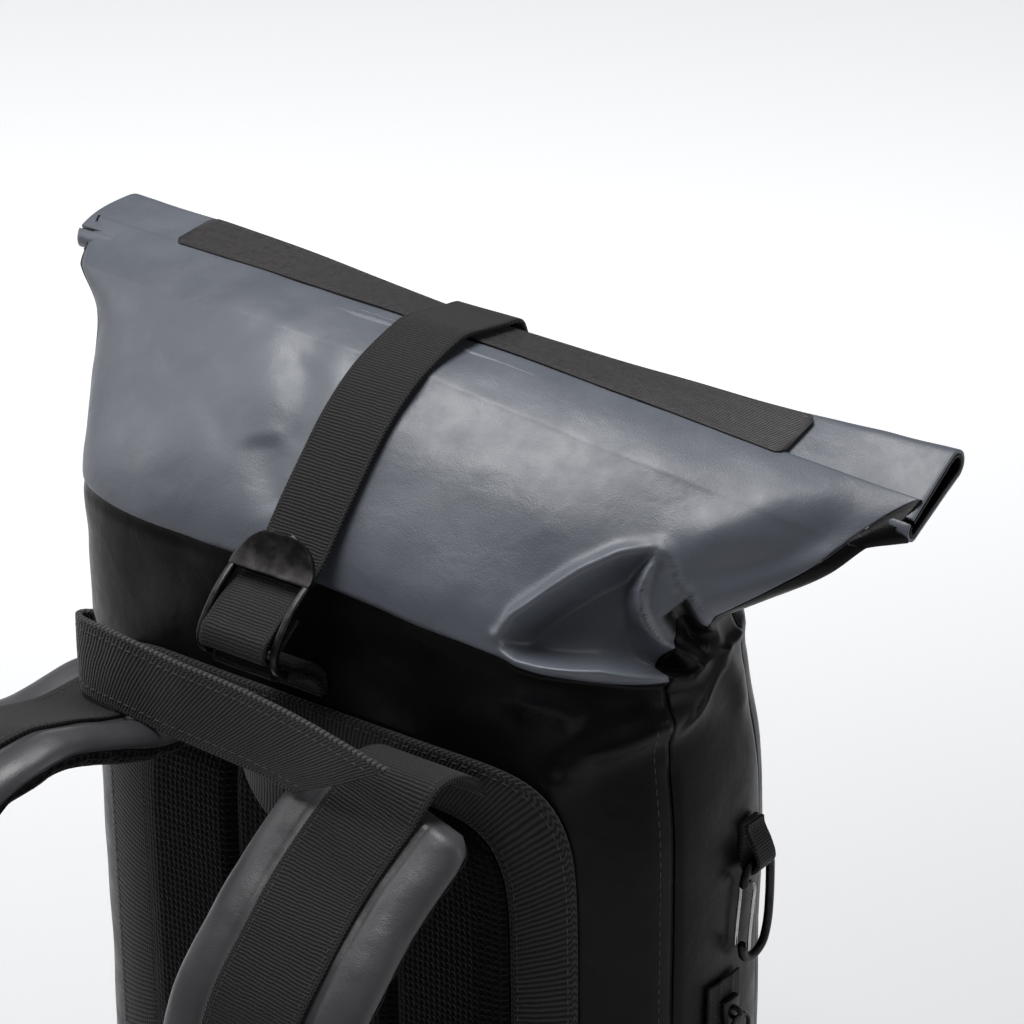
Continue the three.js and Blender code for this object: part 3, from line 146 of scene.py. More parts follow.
bmesh.ops.create_grid(bm, x_segments=4, y_segments=4, size=FLOOR_SIZE)
floor_mesh = bpy.data.meshes.new("floor")
bm.to_mesh(floor_mesh)
bm.free()
floor_mesh.materials.append(floor_finish)
floor = bpy.data.objects.new("floor", floor_mesh)
bpy.context.scene.collection.objects.link(floor)


# Soft studio light: a wide box overhead, a tall one on the left, a slim one on the right that draws
# the edges of the metal, and a dim even room.
def soft_box(name, place, aim, wide, high, power):
    """A rectangular studio light at a place, turned to what it lights."""
    light = bpy.data.lights.new(name, "AREA")
    light.shape = "RECTANGLE"
    light.size = wide
    light.size_y = high
    light.energy = power
    lamp = bpy.data.objects.new(name, light)
    lamp.location = place
    lamp.rotation_mode = "QUATERNION"
    lamp.rotation_quaternion = (Vector(aim) - Vector(place)).to_track_quat("-Z", "Y")
    bpy.context.scene.collection.objects.link(lamp)


soft_box("overhead_box", (-0.4, -0.05, 1.85), (0.0, 0.0, 0.35), 1.3, 0.9, 30)
soft_box("left_box", (-1.6, -0.5, 1.1), (0.0, 0.0, 0.35), 0.8, 1.2, 7)
soft_box("right_box", (1.6, 0.5, 0.9), (0.05, 0.0, 0.3), 0.5, 1.2, 5)
ROOM_LIGHT = 0.14
room = bpy.data.worlds.new("room")
room.use_nodes = True
room.node_tree.nodes["Background"].inputs["Color"].default_value = (0.96, 0.97, 1.0, 1)
room.node_tree.nodes["Background"].inputs["Strength"].default_value = ROOM_LIGHT
bpy.context.scene.world = room


# The body: panels of coated cloth, sewn edge to edge. The lower back, the sides and the front are
# black, and the hood that rises over the crest is grey. The mouth is flattened up to the roll.
BODY_WIDTH = 284
BODY_DEPTH = 120
SEAM_HEIGHT = 366
CREST_RISE = 68
ROLL_LENGTH = 388
ROLL_WIDTH = 42
ROLL_FORWARD = 39
ROLL_UP = SEAM_HEIGHT + CREST_RISE - ROLL_WIDTH * 0.08
MOUTH_THICKNESS = 9
ROLL_TABLE = {
    "along": (-1, -0.55, -0.05, 0.5, 1),
    "forward": (0.25, 0.1, 0, 0.04, 0.17),
    "up": (0.04, 0.07, 0, -0.14, -0.3),
    "lean": (8, 2, -9, 4, 31),
}
BODY_TABLE = {
    "v": (0, 1, 2, 3, 4, 5, 6, 7, 8, 9, 10, 11),
    "back_y": (-0.93, -0.98, -1, -1, -1.02, -1.04, -1.05, -1.03, -0.93, -0.72, -0.4, -0.03),
    "back_up": (0.009, 0.045, 0.14, 0.37, 0.6, 0.8, 0.93, 1, 1.2, 1.44, 1.73, 1.93),
    "front_y": (0.93, 0.99, 1, 1.02, 1.02, 1, 0.98, 0.97, 0.97, 0.92, 0.82, 0.62),
    "front_up": (0.009, 0.045, 0.14, 0.37, 0.6, 0.8, 0.93, 1, 1.2, 1.42, 1.62, 1.76),
    "wide": (0.955, 0.985, 1, 1, 1, 1, 0.985, 0.99, 1.005, 1.105, 1.205, 1.275),
    "shift": (0, 0, 0, 0, 0, 0, -0.02, -0.04, -0.07, -0.045, -0.005, 0),
    "round": (5, 5, 5, 5, 5, 5, 4.6, 4.4, 4, 3.4, 3, 3.4),
    "soft": (2.5, 2.5, 2.5, 2.5, 2.5, 2.5, 2.4, 2.3, 2, 1.6, 1.4, 1.5),
    "sag": (0, 0, 0, 0, 0, 0.15, 0.6, 0.9, 1, 1, 1, 1),
}
SEAM_SHARE = 0.97
OVER_ROLL = 0.34
OVER_LIFT = 0.4
CREST_BULGE = 1.6
LEFT_BULGE = 9.0
LEFT_BULGE_AT = 11.2
LEFT_FLAT_FROM, LEFT_FLAT_TO = 9.2, 10.6
TOP_OF_WALLS = 7
NEAR_MOUTH = 11
MOUTH = 12
BACK_SEAM = 8
FRONT_SEAM = 12
LOOP = 40


def read_table(table, key, at, name):
    """Values between a table's rows, on a smooth curve through them."""
    keys = np.array(table[key], float)
    values = np.array(table[name], float)
    at = np.clip(at, keys[0], keys[-1])
    i = np.clip(np.searchsorted(keys, at) - 1, 0, len(keys) - 2)
    before = np.maximum(i - 1, 0)
    after = np.minimum(i + 2, len(keys) - 1)
    span = keys[i + 1] - keys[i]
    t = (at - keys[i]) / span
    slope_start = (values[i + 1] - values[before]) / (keys[i + 1] - keys[before]) * span
    slope_end = (values[after] - values[i]) / (keys[after] - keys[i]) * span
    return (
        (2 * t**3 - 3 * t**2 + 1) * values[i] + (t**3 - 2 * t**2 + t) * slope_start
        + (3 * t**2 - 2 * t**3) * values[i + 1] + (t**3 - t**2) * slope_end
    )


def on_roll(x, across, sink=0.0):
    """Points on the roll's upper face, from its back edge 0 to its front edge 1."""
    x = np.asarray(x, float)
    along = np.clip(2 * x / ROLL_LENGTH, -1, 1)
    lean = np.radians(read_table(ROLL_TABLE, "along", along, "lean"))
    forward = read_table(ROLL_TABLE, "along", along, "forward") * ROLL_WIDTH
    up = read_table(ROLL_TABLE, "along", along, "up") * ROLL_WIDTH
    reach = (across - 0.5) * ROLL_WIDTH
    return np.stack([
        x,
        ROLL_FORWARD + forward + reach * np.cos(lean) + sink * np.sin(lean),
        ROLL_UP + up + reach * np.sin(lean) - sink * np.cos(lean),
    ], -1)


def round_the_section(column, roundness, soft):
    """Where a column lies: its shares of half the width and half the depth."""
    k = np.mod(column, LOOP)
    side = np.where(k <= LOOP / 2, 1, -1)
    k = np.where(k <= LOOP / 2, k, LOOP - k)
    corner = np.arccos(SEAM_SHARE ** (roundness / 2))
    turn = corner * (LOOP / 4 - k) / 2
    flank = (k > BACK_SEAM) & (k < FRONT_SEAM)
    flat = SEAM_SHARE * np.where(k <= BACK_SEAM, k, LOOP / 2 - k) / BACK_SEAM
    across = np.where(flank, np.cos(turn) ** (2 / roundness), flat)
    level = (1 - np.clip(flat, 0, 1) ** roundness) ** (1 / soft)
    deep = np.where(flank, np.abs(np.sin(turn)) ** (2 / soft), level)
    return side * across, np.where(k <= LOOP / 4, -deep, deep)


def smooth(t):
    """A soft step from 0 to 1."""
    t = np.clip(t, 0, 1)
    return t * t * (3 - 2 * t)


def on_body(v, column):
    """Points on the skin of the body, from the floor at v 0 to the mouth at v 12."""
    v, column = np.broadcast_arrays(np.asarray(v, float), np.asarray(column, float))

    def row(name):
        return read_table(BODY_TABLE, "v", v, name)

    def height(up):
        return np.where(up <= 1, up * SEAM_HEIGHT, SEAM_HEIGHT + (up - 1) * CREST_RISE)

    across, deep = round_the_section(column, row("round"), row("soft"))
    kept = smooth((LEFT_FLAT_TO - v) / (LEFT_FLAT_TO - LEFT_FLAT_FROM))
    across = np.where(across < -SEAM_SHARE, -SEAM_SHARE + (across + SEAM_SHARE) * kept, across)
    x = (row("shift") + row("wide") * across) * BODY_WIDTH / 2
    x = x - LEFT_BULGE * np.exp(-(((v - LEFT_BULGE_AT) / 0.9) ** 2)) * smooth((-x - 110) / 45)
    back_y, front_y = row("back_y") * BODY_DEPTH / 2, row("front_y") * BODY_DEPTH / 2
    back_z, front_z = height(row("back_up")), height(row("front_up"))
    drop = on_roll(x, 0.0) - on_roll(0.0, 0.0)
    lean = np.clip((v - TOP_OF_WALLS) / (MOUTH - TOP_OF_WALLS), 0, 1)
    skin = np.stack([
        x,
        (back_y + front_y) / 2 + (front_y - back_y) / 2 * deep + drop[..., 1] * lean**2,
        (back_z + front_z) / 2 + (front_z - back_z) / 2 * deep + drop[..., 2] * row("sag"),
    ], -1)
    across, deep = round_the_section(column, 8, 3)
    across = np.maximum(across, -SEAM_SHARE)
    half = MOUTH_THICKNESS / 2
    mouth = on_roll(across * ROLL_LENGTH / 2, 0.0, half + deep * half)
    spread = 1 + (1 / SEAM_SHARE - 1) * np.where(across < 0, 0.9, 0.7)
    over = on_roll(across * spread * (ROLL_LENGTH / 2 + 0.6), OVER_ROLL, -OVER_LIFT)
    hood = (deep < 0) & (np.abs(across) <= SEAM_SHARE + 0.001)
    mouth = np.where(hood[..., None], over, mouth)
    share = smooth(v - NEAR_MOUTH)[..., None]
    crest = np.where(hood, np.sin(np.clip(v - NEAR_MOUTH, 0, 1) * math.pi) * CREST_BULGE, 0.0)
    return skin * (1 - share) + mouth * share + np.stack([0 * crest, 0 * crest, crest], -1)


def outward(surface, v, column, step=0.03):
    """The direction straight out of a surface."""
    rise = surface(v + step, column) - surface(v - step, column)
    turn = surface(v, column + step) - surface(v, column - step)
    out = np.cross(turn, rise)
    return out / np.maximum(np.linalg.norm(out, axis=-1, keepdims=True), 1e-9)


# Each line of folds is drawn as (across, up) in millimetres, as it is seen from the camera's side:
# (line, height, half width). Below zero it is a valley.
FOLDS = (
    (((87.3, 398), (73.2, 394.6), (60.5, 388.7), (47.7, 380.9), (35.5, 372.4), (29.5, 365.6)), 4.4, 2.3),
    (((29.5, 365.6), (30.6, 361.4), (36.2, 358.7), (44.8, 357.7), (66.1, 357.2), (87.5, 352.7),
      (99.3, 350.1), (104.6, 351.2)), 3.6, 1.9),
    (((86.7, 395.6), (83, 390), (80.2, 383.6), (80.3, 378.3), (82.4, 372.7), (87.6, 365.5),
      (94.8, 358.5), (102.2, 352.3)), 4.2, 1.9),
    (((87.3, 398), (90.8, 395.3), (92.2, 391.2), (93, 386.7), (95.7, 385.1)), 2.4, 2.4),
    (((97.9, 383.4), (103.9, 371.8), (108.4, 356.7), (111.1, 352.2)), 2.6, 2.0),
    (((119.8, 351.2), (111.5, 352.6)), 1.6, 1.6),
    (((111.1, 352.2), (117.3, 337), (120, 322)), 1.6, 2.6),
    (((111.8, 351.8), (110.7, 347.5), (108.4, 344.8), (102.5, 338.5), (99.5, 335), (92.2, 330.4)), 1.6, 1.5),
    (((100.6, 337.4), (86.3, 336.6), (61.6, 328.8), (49.9, 314.3)), 5.2, 6.0),
    (((34.8, 345.8), (52.2, 345.2), (61.6, 339.9)), 3.2, 6.0),
    (((-41, 427.6), (-44, 416.3), (-47.3, 402.7)), -2.0, 8.0),
    (((-58.3, 405.4), (-54.7, 395.6), (-48.7, 385.9)), -2.2, 9.0),
    (((-21.2, 430.5), (-21.3, 420.2), (-24.7, 410)), -1.6, 7.0),
    (((94.4, 398.8), (126.4, 410.8), (159, 419)), 2.6, 6.0),
    (((101.5, 388.2), (129.6, 395.7), (154.4, 408.3)), -3.0, 6.5),
    (((-105, 417), (-83.4, 411.6), (-66.5, 398.1)), -1.8, 9.0),
)
# Hollows in the folded corner: (outline, depth, shoulder)
HOLLOWS = (
    (((87.3, 398), (73.2, 394.6), (60.5, 388.7), (47.7, 380.9), (35.5, 372.4), (29.5, 365.6), (30.6, 361.4),
      (36.2, 358.7), (44.8, 357.7), (66.1, 357.2), (87.5, 352.7), (99.3, 350.1), (102.2, 352.3),
      (94.8, 358.5), (87.6, 365.5), (82.4, 372.7), (80.3, 378.3), (80.2, 383.6), (83, 390), (86.7, 395.6)),
     12.5, 7.5),
    (((97.5, 383.4), (87.4, 374.8), (92, 366), (102.3, 356.7), (104.9, 352.6), (105.3, 362.2)), 6.0, 4.0),
)
# The outline of the deep pocket in the folded corner of the hood, where the grey is painted black as painted
# shade.
SHADED_POCKET = HOLLOWS[1][0]
SEEN_ACROSS = (0.808, 0.589)


def from_line(at, line):
    """How far points are from a line, and how far along it, from 0 to 1."""
    line = np.array(line, float)
    lengths = np.linalg.norm(np.diff(line, axis=0), axis=1)
    best = np.full(len(at), 1e9)
    along = np.zeros(len(at))
    for k, length in enumerate(lengths):
        step = line[k + 1] - line[k]
        t = np.clip(((at - line[k]) @ step) / (length * length), 0, 1)
        gap = np.linalg.norm(at - line[k] - t[:, None] * step, axis=1)
        near = gap < best
        best[near] = gap[near]
        along[near] = ((lengths[:k].sum() + t * length) / lengths.sum())[near]
    return best, along


def inside(at, outline):
    """How deep points lie inside an outline, and below zero outside it."""
    closed = [*outline, outline[0]]
    gap, _ = from_line(at, closed)
    crossings = np.zeros(len(at), int)
    for (ax, az), (bx, bz) in zip(closed, closed[1:]):
        spans = (az > at[:, 1]) != (bz > at[:, 1])
        x = ax + (at[:, 1] - az) / ((bz - az) or 1e-9) * (bx - ax)
        crossings += spans & (at[:, 0] < x)
    return np.where(crossings % 2 == 1, gap, -gap)


def seen_flat(points):
    """Points as they are seen from the camera's side: across and up."""
    return np.stack([points[:, :2] @ np.array(SEEN_ACROSS), points[:, 2]], -1)


def folds_at(points, out):
    """How far the folds lift the cloth, in millimetres."""
    flat = seen_flat(points)
    lift = np.zeros(len(points))
    for line, height, half_width in FOLDS:
        gap, along = from_line(flat, line)
        fade = 0.35 + 0.65 * smooth(along / 0.2) * smooth((1 - along) / 0.2)
        lift += height * np.exp(-((gap / half_width) ** 2)) * fade
    for outline, depth, shoulder in HOLLOWS:
        lift -= depth * smooth(inside(flat, outline) / shoulder)
    turned = out @ np.array(towards_camera)
    return lift * smooth(turned / 0.25 + 0.4)


def unrest(points, size, seed):
    """Slow, irregular waves over cloth, from -1 to 1."""
    return np.array([noise.noise(Vector(p) / size + Vector((seed, 0, 0))) for p in points])


def roll_wave(points):
    """The soft waves of the rolled cloth."""
    return unrest(points, 40.0, 5.0) * 0.5 + unrest(points, 15.0, 2.0) * 0.22


LOOSE_ABOVE = 300
SEWN_BELOW = 324
SEAM_GROOVE, SEAM_GROOVE_HALF = 1.1, 2.2
HEM_GROOVE, HEM_GROOVE_HALF = 0.9, 2.0


def body_cloth(v, column):
    """The skin with its folds, its soft waves and the groove at each seam."""
    points = on_body(v, column)
    out = outward(on_body, v, column)
    lift = folds_at(points, out)
    loose = smooth((points[:, 2] - LOOSE_ABOVE) / 60) * smooth((np.abs(points[:, 0] + 9) - 16) / 22)
    lift += unrest(points, 34.0, 3.0) * (0.5 + 1.3 * loose)
    lift += unrest(points, 16.0, 8.0) * (0.12 + 0.18 * loose)
    k = np.mod(column, LOOP)
    sewn = smooth((SEWN_BELOW - points[:, 2]) / 10)
    for seam in (BACK_SEAM, FRONT_SEAM, LOOP - FRONT_SEAM, LOOP - BACK_SEAM):
        away = np.abs(k - seam) * np.where(np.abs(k - 10) < 2, 13.0, 17.0)
        weight = sewn if seam == BACK_SEAM else 1.0
        lift -= SEAM_GROOVE * np.exp(-((away / SEAM_GROOVE_HALF) ** 2)) * weight
    on_back = (k <= BACK_SEAM) | (k >= LOOP - BACK_SEAM)
    hem = np.abs(v - TOP_OF_WALLS) * 25.0
    lift -= HEM_GROOVE * np.exp(-((hem / HEM_GROOVE_HALF) ** 2)) * on_back
    near = smooth((v - 11.2) / 0.7) * on_back
    lift = lift * (1 - near) + roll_wave(points) * near
    return points + out * lift[:, None]


def coated_finish(name, dark, light, gloss, shine, pocket_shade=None):
    """Coated cloth: a satin film over a fine weave, soft crinkles, slight mottling and, by a mask, painted
    shade.
    """
    finish, tree, shader = new_finish(name)
    where = add_node(tree, "ShaderNodeTexCoord", {}).outputs["Object"]
    broad = grain(tree, where, 18.0, 4.0)
    colour = shade(tree, between(tree, broad, 0.3, 0.7), dark, light)
    # Painted shade: where the mask attribute is set, the cloth's colour is painted to the given dark tone,
    # for the shade in a deep pocket.
    if pocket_shade:
        mask = add_node(tree, "ShaderNodeAttribute", {}, {"attribute_name": "pocket_shade"}).outputs["Fac"]
        mixed = add_node(tree, "ShaderNodeMix", {"Factor": mask, "A": colour}, {"data_type": "RGBA"})
        mixed.inputs["B"].default_value = (*pocket_shade, 1)
        colour = mixed.outputs["Result"]
    tree.links.new(colour, shader.inputs["Base Color"])
    scuff = grain(tree, where, 70.0, 6.0, 0.6)
    rough = between(tree, scuff, 0.3, 0.7, gloss, gloss + 0.13)
    tree.links.new(rough, shader.inputs["Roughness"])
    shader.inputs["Specular IOR Level"].default_value = shine
    shader.inputs["Sheen Weight"].default_value = 0.02
    shader.inputs["Sheen Roughness"].default_value = 0.5
    crinkle = grain(tree, where, 60.0, 3.0, 0.45, 0.3)
    weave = grain(tree, where, 1700.0, 2.0)
    raise_surface(tree, shader, (crinkle, 0.0006), (weave, 0.0001))
    return finish


GREY_DARK = (0.085, 0.094, 0.115)
GREY_LIGHT = (0.105, 0.116, 0.138)
BLACK_DARK = (0.0022, 0.0018, 0.0022)
BLACK_LIGHT = (0.0042, 0.0034, 0.0044)
# The grey cloth is painted to the black's dark tone in its shaded pocket: painted shade.
grey_cloth = coated_finish("grey_coated_cloth", GREY_DARK, GREY_LIGHT, 0.36, 0.6, BLACK_DARK)
black_cloth = coated_finish("black_coated_cloth", BLACK_DARK, BLACK_LIGHT, 0.27, 0.12)


def spread_sheet(name, columns, rows, place, across, along, finish):
    """A grid laid where place puts it, with its texture coordinates in millimetres of cloth."""
    bm = bmesh.new()
    bmesh.ops.create_grid(bm, x_segments=columns, y_segments=rows, size=0.5)
    bm.verts.index_update()
    flat = np.array([vert.co for vert in bm.verts])[:, :2] + 0.5
    points = place(flat[:, 0], flat[:, 1]) * MM
    layer = bm.loops.layers.uv.new("UVMap")
    for face in bm.faces:
        face.smooth = True
        for loop in face.loops:
            u, v = flat[loop.vert.index]
            loop[layer].uv = ((u - 0.5) * across, v * along)
    for vert, point in zip(bm.verts, points):
        vert.co = point
    bmesh.ops.remove_doubles(bm, verts=bm.verts, dist=0.00001)
    return finish_piece(name, bm, finish)


def finish_piece(name, bm, finish):
    """A mesh made an object of the scene, in one finish."""
    mesh = bpy.data.meshes.new(name)
    bm.to_mesh(mesh)
    bm.free()
    mesh.materials.append(finish)
    piece = bpy.data.objects.new(name, mesh)
    bpy.context.scene.collection.objects.link(piece)
    return piece


def give_wall(piece, thickness, offset=-1.0, edge=0.0):
    """Thickness for a sheet, with its edge softened where that shows."""
    wall = piece.modifiers.new("wall", "SOLIDIFY")
    wall.thickness = thickness * MM
    wall.offset = offset
    if edge:
        soft = piece.modifiers.new("edge", "BEVEL")
        soft.width = edge * MM
        soft.segments = 2
        soft.limit_method = "ANGLE"
        soft.angle_limit = math.radians(50)


def towards_ends(t, pull=0.258):
    """Even steps from -1 to 1, closer where the cloth turns the corner."""
    return (1 + pull) * t - pull * t**3


def join_bag(piece, node=None):
    """A piece that rides on the bag and the node that it stands for."""
    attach(piece, "bag")
    if node:
        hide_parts(node)


PANEL_WALL = 0.9
CLOTH_GAP = 0.012
PANELS = (
    ("back_panel", 170, 150, 0, TOP_OF_WALLS, -BACK_SEAM, BACK_SEAM, 276, 363),
    ("hood_panel", 230, 84, TOP_OF_WALLS, MOUTH, -BACK_SEAM, BACK_SEAM, 300, 110),
    ("side_gusset_right", 34, 190, 0, MOUTH, BACK_SEAM, FRONT_SEAM, 56, 430),
    ("front_panel", 120, 110, 0, MOUTH, FRONT_SEAM, LOOP - FRONT_SEAM, 276, 430),
    ("side_gusset_left", 34, 190, 0, MOUTH, LOOP - FRONT_SEAM, LOOP - BACK_SEAM, 56, 430),
)
for name, columns, rows, low, high, first, last, across, along in PANELS:
    def lay_panel(u, w, low=low, high=high, first=first, last=last):
        wide = last - first > 2 * (FRONT_SEAM - BACK_SEAM)
        share = (towards_ends(2 * u - 1) + 1) / 2 if wide else u
        column = first + CLOTH_GAP + (last - first - 2 * CLOTH_GAP) * share
        climb = w if low else 1 - (1 - w) ** 1.35
        return body_cloth(low + (high - low) * climb, column)

    is_hood = name == "hood_panel"
    cloth = grey_cloth if is_hood else black_cloth
    panel = spread_sheet(name, columns, rows, lay_panel, across, along, cloth)
    give_wall(panel, PANEL_WALL)
    if is_hood:
        # Painted shade: the hood's grey is painted black inside the deep pocket of its folded corner, right
        # of x 100 mm, where the cloth lies in shade.
        places = np.array([vert.co for vert in panel.data.vertices]) / MM
        pocket_shade_share = smooth((inside(seen_flat(places), SHADED_POCKET) + 0.6) / 1.6) * (places[:, 0] > 100)
        mask = panel.data.attributes.new("pocket_shade", "FLOAT", "POINT")
        mask.data.foreach_set("value", pocket_shade_share.astype(np.float32))
    join_bag(panel, name)

# The floor of the bag: a flat stiffened panel of the black cloth with rounded corners, bound to the
# walls by a seam.
BASE_THICKNESS = 3
BASE_RINGS = ((0.0, 0.0), (0.0, 0.5), (0.0, 0.94), (0.02, 0.965), (0.3, 0.99), (0.6, 1.0), (0.96, 1.0))


def lay_base(u, w):
    at = w * (len(BASE_RINGS) - 1)
    up = np.interp(at, range(len(BASE_RINGS)), [ring[0] for ring in BASE_RINGS]) * BASE_THICKNESS
    share = np.interp(at, range(len(BASE_RINGS)), [ring[1] for ring in BASE_RINGS])
    rim = on_body(np.zeros(len(u)), u * LOOP)
    return np.stack([rim[:, 0] * share, rim[:, 1] * share, up], -1)


base = spread_sheet("base_panel", 160, 6, lay_base, 600, 80, black_cloth)
join_bag(base, "base_panel")

# The rolled mouth: two layers of cloth wound flat on themselves, the grey one outside and its black
# lining inside, so that the ends show a flat coil.
ROLL_THICKNESS = 12
ROLL_LAYER = 3.0
ROLL_SPACE = 0.6
ROLL_WALL = ROLL_LAYER / 2 - 0.1
ROLL_EDGE = 0.3
LEFT_END_BULGE = 4.5


def roll_line():
    """The middle of the wound cloth, as (reach from the roll's middle, depth below its face)."""
    pitch = ROLL_LAYER + ROLL_SPACE
    radius = (ROLL_THICKNESS - ROLL_LAYER) / 2
    sink = ROLL_THICKNESS / 2
    line = [(-(ROLL_WIDTH / 2 - ROLL_THICKNESS / 2), ROLL_LAYER / 2)]
    for first, last, end in ((90, 270, 1), (270, 450, -1), (90, 270, 1)):
        if radius <= ROLL_LAYER / 2:
            break
        bend = end * (ROLL_WIDTH / 2 - radius - ROLL_LAYER / 2)
        for angle in np.radians(np.linspace(first, last, 13)):
            line.append((bend + end * abs(math.cos(angle)) * radius, sink - math.sin(angle) * radius))
        sink -= pitch / 2 * end
        radius -= pitch / 2
    return np.array(line)


def even_steps(line, count):
    """Points at equal steps along a line."""
    gaps = np.linalg.norm(np.diff(line, axis=0), axis=1)
    along = np.concatenate([[0], np.cumsum(gaps)])
    at = np.linspace(0, along[-1], count)
    return np.stack([np.interp(at, along, line[:, k]) for k in range(line.shape[1])], -1), along[-1]


wound, wound_length = even_steps(roll_line(), 120)
wound_way = np.gradient(wound, axis=0)
wound_way /= np.linalg.norm(wound_way, axis=1, keepdims=True)
wound_out = np.stack([wound_way[:, 1], -wound_way[:, 0]], -1)


def lay_roll(lift):
    def place(u, w):
        at = w * (len(wound) - 1)
        x = (u - 0.5) * ROLL_LENGTH
        reach, sink = (
            np.interp(at, range(len(wound)), wound[:, k] + wound_out[:, k] * lift) for k in (0, 1)
        )
        rounded = LEFT_END_BULGE * smooth((-x - 165) / 29) * (1 - (2 * reach / ROLL_WIDTH) ** 2)
        points = on_roll(x - rounded, 0.5 + reach / ROLL_WIDTH, sink)
        points[:, 2] += roll_wave(points)
        return points
    return place


roll = spread_sheet("rolled_top", 190, 100, lay_roll(ROLL_LAYER / 2), ROLL_LENGTH, wound_length, grey_cloth)
give_wall(roll, ROLL_WALL, -1.0, ROLL_EDGE)
join_bag(roll, "rolled_top")
lining = spread_sheet("rolled_lining", 120, 80, lay_roll(-0.1), ROLL_LENGTH - 3, wound_length, black_cloth)
give_wall(lining, ROLL_WALL, -1.0, ROLL_EDGE)
join_bag(lining)

# The satin strip sewn along the roll's upper face: a dark woven tape, bare, with rounded corners and
# a line of stitches just inside its edge.
TOP_STRIP_WIDTH = 25
TOP_STRIP_LENGTH = 288
STRIP_MIDDLE = -5
STRIP_ACROSS = 0.56
STRIP_LIFT = 1.7
TAPE_THICKNESS = 0.7
TAPE_TONES = ((0.013, 0.0115, 0.0125), (0.022, 0.019, 0.021))


def lay_strip(u, w):
    x = STRIP_MIDDLE + (u - 0.5) * TOP_STRIP_LENGTH
    from_end = TOP_STRIP_LENGTH / 2 - np.abs(x - STRIP_MIDDLE)
    corner = 1 - 0.28 * (1 - np.clip(from_end / 3.5, 0, 1)) ** 2
    across = STRIP_ACROSS + (w - 0.5) * corner * TOP_STRIP_WIDTH / ROLL_WIDTH
    points = on_roll(x, across, -STRIP_LIFT)
    points[:, 2] += unrest(points, 40.0, 5.0) * 0.4
    return points


satin, tree, shader = new_finish("satin_tape")
where = add_node(tree, "ShaderNodeTexCoord", {}).outputs["UV"]
split = add_node(tree, "ShaderNodeSeparateXYZ", {"Vector": where})
yarn = reckon(tree, "SINE", reckon(tree, "MULTIPLY", split.outputs["Y"], 2 * math.pi / 0.9))
fleck = grain(tree, where, 0.35, 5.0, 0.6)
tree.links.new(shade(tree, between(tree, fleck, 0.3, 0.7), *TAPE_TONES), shader.inputs["Base Color"])
tree.links.new(between(tree, fleck, 0.3, 0.7, 0.42, 0.55), shader.inputs["Roughness"])
shader.inputs["Specular IOR Level"].default_value = 0.35
shader.inputs["Sheen Weight"].default_value = 0.1
shader.inputs["Sheen Roughness"].default_value = 0.4
raise_surface(tree, shader, (grain(tree, where, 0.12, 3.0), 0.0006), (yarn, 0.00005))
strip = spread_sheet("top_strip", 180, 14, lay_strip, TOP_STRIP_LENGTH, TOP_STRIP_WIDTH, satin)
give_wall(strip, TAPE_THICKNESS, -1.0, 0.2)
join_bag(strip, "top_strip")

# The closure strap: one length of ribbed webbing that comes up from the clasp at the front, goes over
# the roll and down the hood, and is wound through the buckle's window and round its bar.
STRAP_X = -9
STRAP_WIDTH = 30
WEBBING = 1.6
WEBBING_EDGE = 0.35
GAP = 0.3
WEBBING_SEAT = GAP + WEBBING / 2
BAR_DIAMETER = 4
BUCKLE_TIP = np.array((STRAP_X, -66, SEAM_HEIGHT + 17.5))
BUCKLE_SLOPE = math.radians(42)
BUCKLE_DOWN = np.array((0, -math.cos(BUCKLE_SLOPE), -math.sin(BUCKLE_SLOPE)))
BUCKLE_OUT = np.array((0, -math.sin(BUCKLE_SLOPE), math.cos(BUCKLE_SLOPE)))
BAR_T, BAR_H = 43, -1.5
LIP_T, LIP_H = 45, -13
X_AXIS = np.array((1.0, 0.0, 0.0))
Y_AXIS = np.array((0.0, 1.0, 0.0))
Z_AXIS = np.array((0.0, 0.0, 1.0))
LOWER_TABLE = {name: values[:8] for name, values in BODY_TABLE.items()}


def on_buckle(across, t, h):
    """Points on the buckle's own slope: t down it from the plate's tip, h out from it."""
    across, t, h = (np.asarray(value, float)[..., None] for value in (across, t, h))
    return BUCKLE_TIP + X_AXIS * across + BUCKLE_DOWN * t + BUCKLE_OUT * h


def off_wall(face, x, z, out=0.0):
    """Points a little way out from the lower body's back or front."""
    x, z = np.broadcast_arrays(np.asarray(x, float), np.asarray(z, float))
    v = read_table(LOWER_TABLE, "back_up", z / SEAM_HEIGHT, "v")
    reach, wide, roundness, soft = (
        read_table(BODY_TABLE, "v", v, name) for name in (face, "wide", "round", "soft")
    )

    def depth(at):
        share = np.clip(np.abs(at) / (wide * BODY_WIDTH / 2), 0, 1)
        return reach * BODY_DEPTH / 2 * (1 - share**roundness) ** (1 / soft)

    normal = np.stack([-(depth(x + 0.5) - depth(x - 0.5)), np.ones_like(x), np.zeros_like(x)], -1)
    normal /= np.linalg.norm(normal, axis=-1, keepdims=True)
    outward_sign = np.sign(reach)[..., None]
    return np.stack([x, depth(x), z], -1) + normal * outward_sign * np.asarray(out, float)[..., None]


def off_side(y, z, out=0.0):
    """Points a little way out from the body's right side."""
    y, z = np.broadcast_arrays(np.asarray(y, float), np.asarray(z, float))
    v = read_table(LOWER_TABLE, "back_up", z / SEAM_HEIGHT, "v")
    back, front = (read_table(BODY_TABLE, "v", v, name) * BODY_DEPTH / 2 for name in ("back_y", "front_y"))
    off = np.abs(y - (front + back) / 2) / ((front - back) / 2)
    soft, roundness = read_table(BODY_TABLE, "v", v, "soft"), read_table(BODY_TABLE, "v", v, "round")
    share = (1 - off**soft) ** (1 / roundness)
    return np.stack([read_table(BODY_TABLE, "v", v, "wide") * BODY_WIDTH / 2 * share + out, y, z], -1)


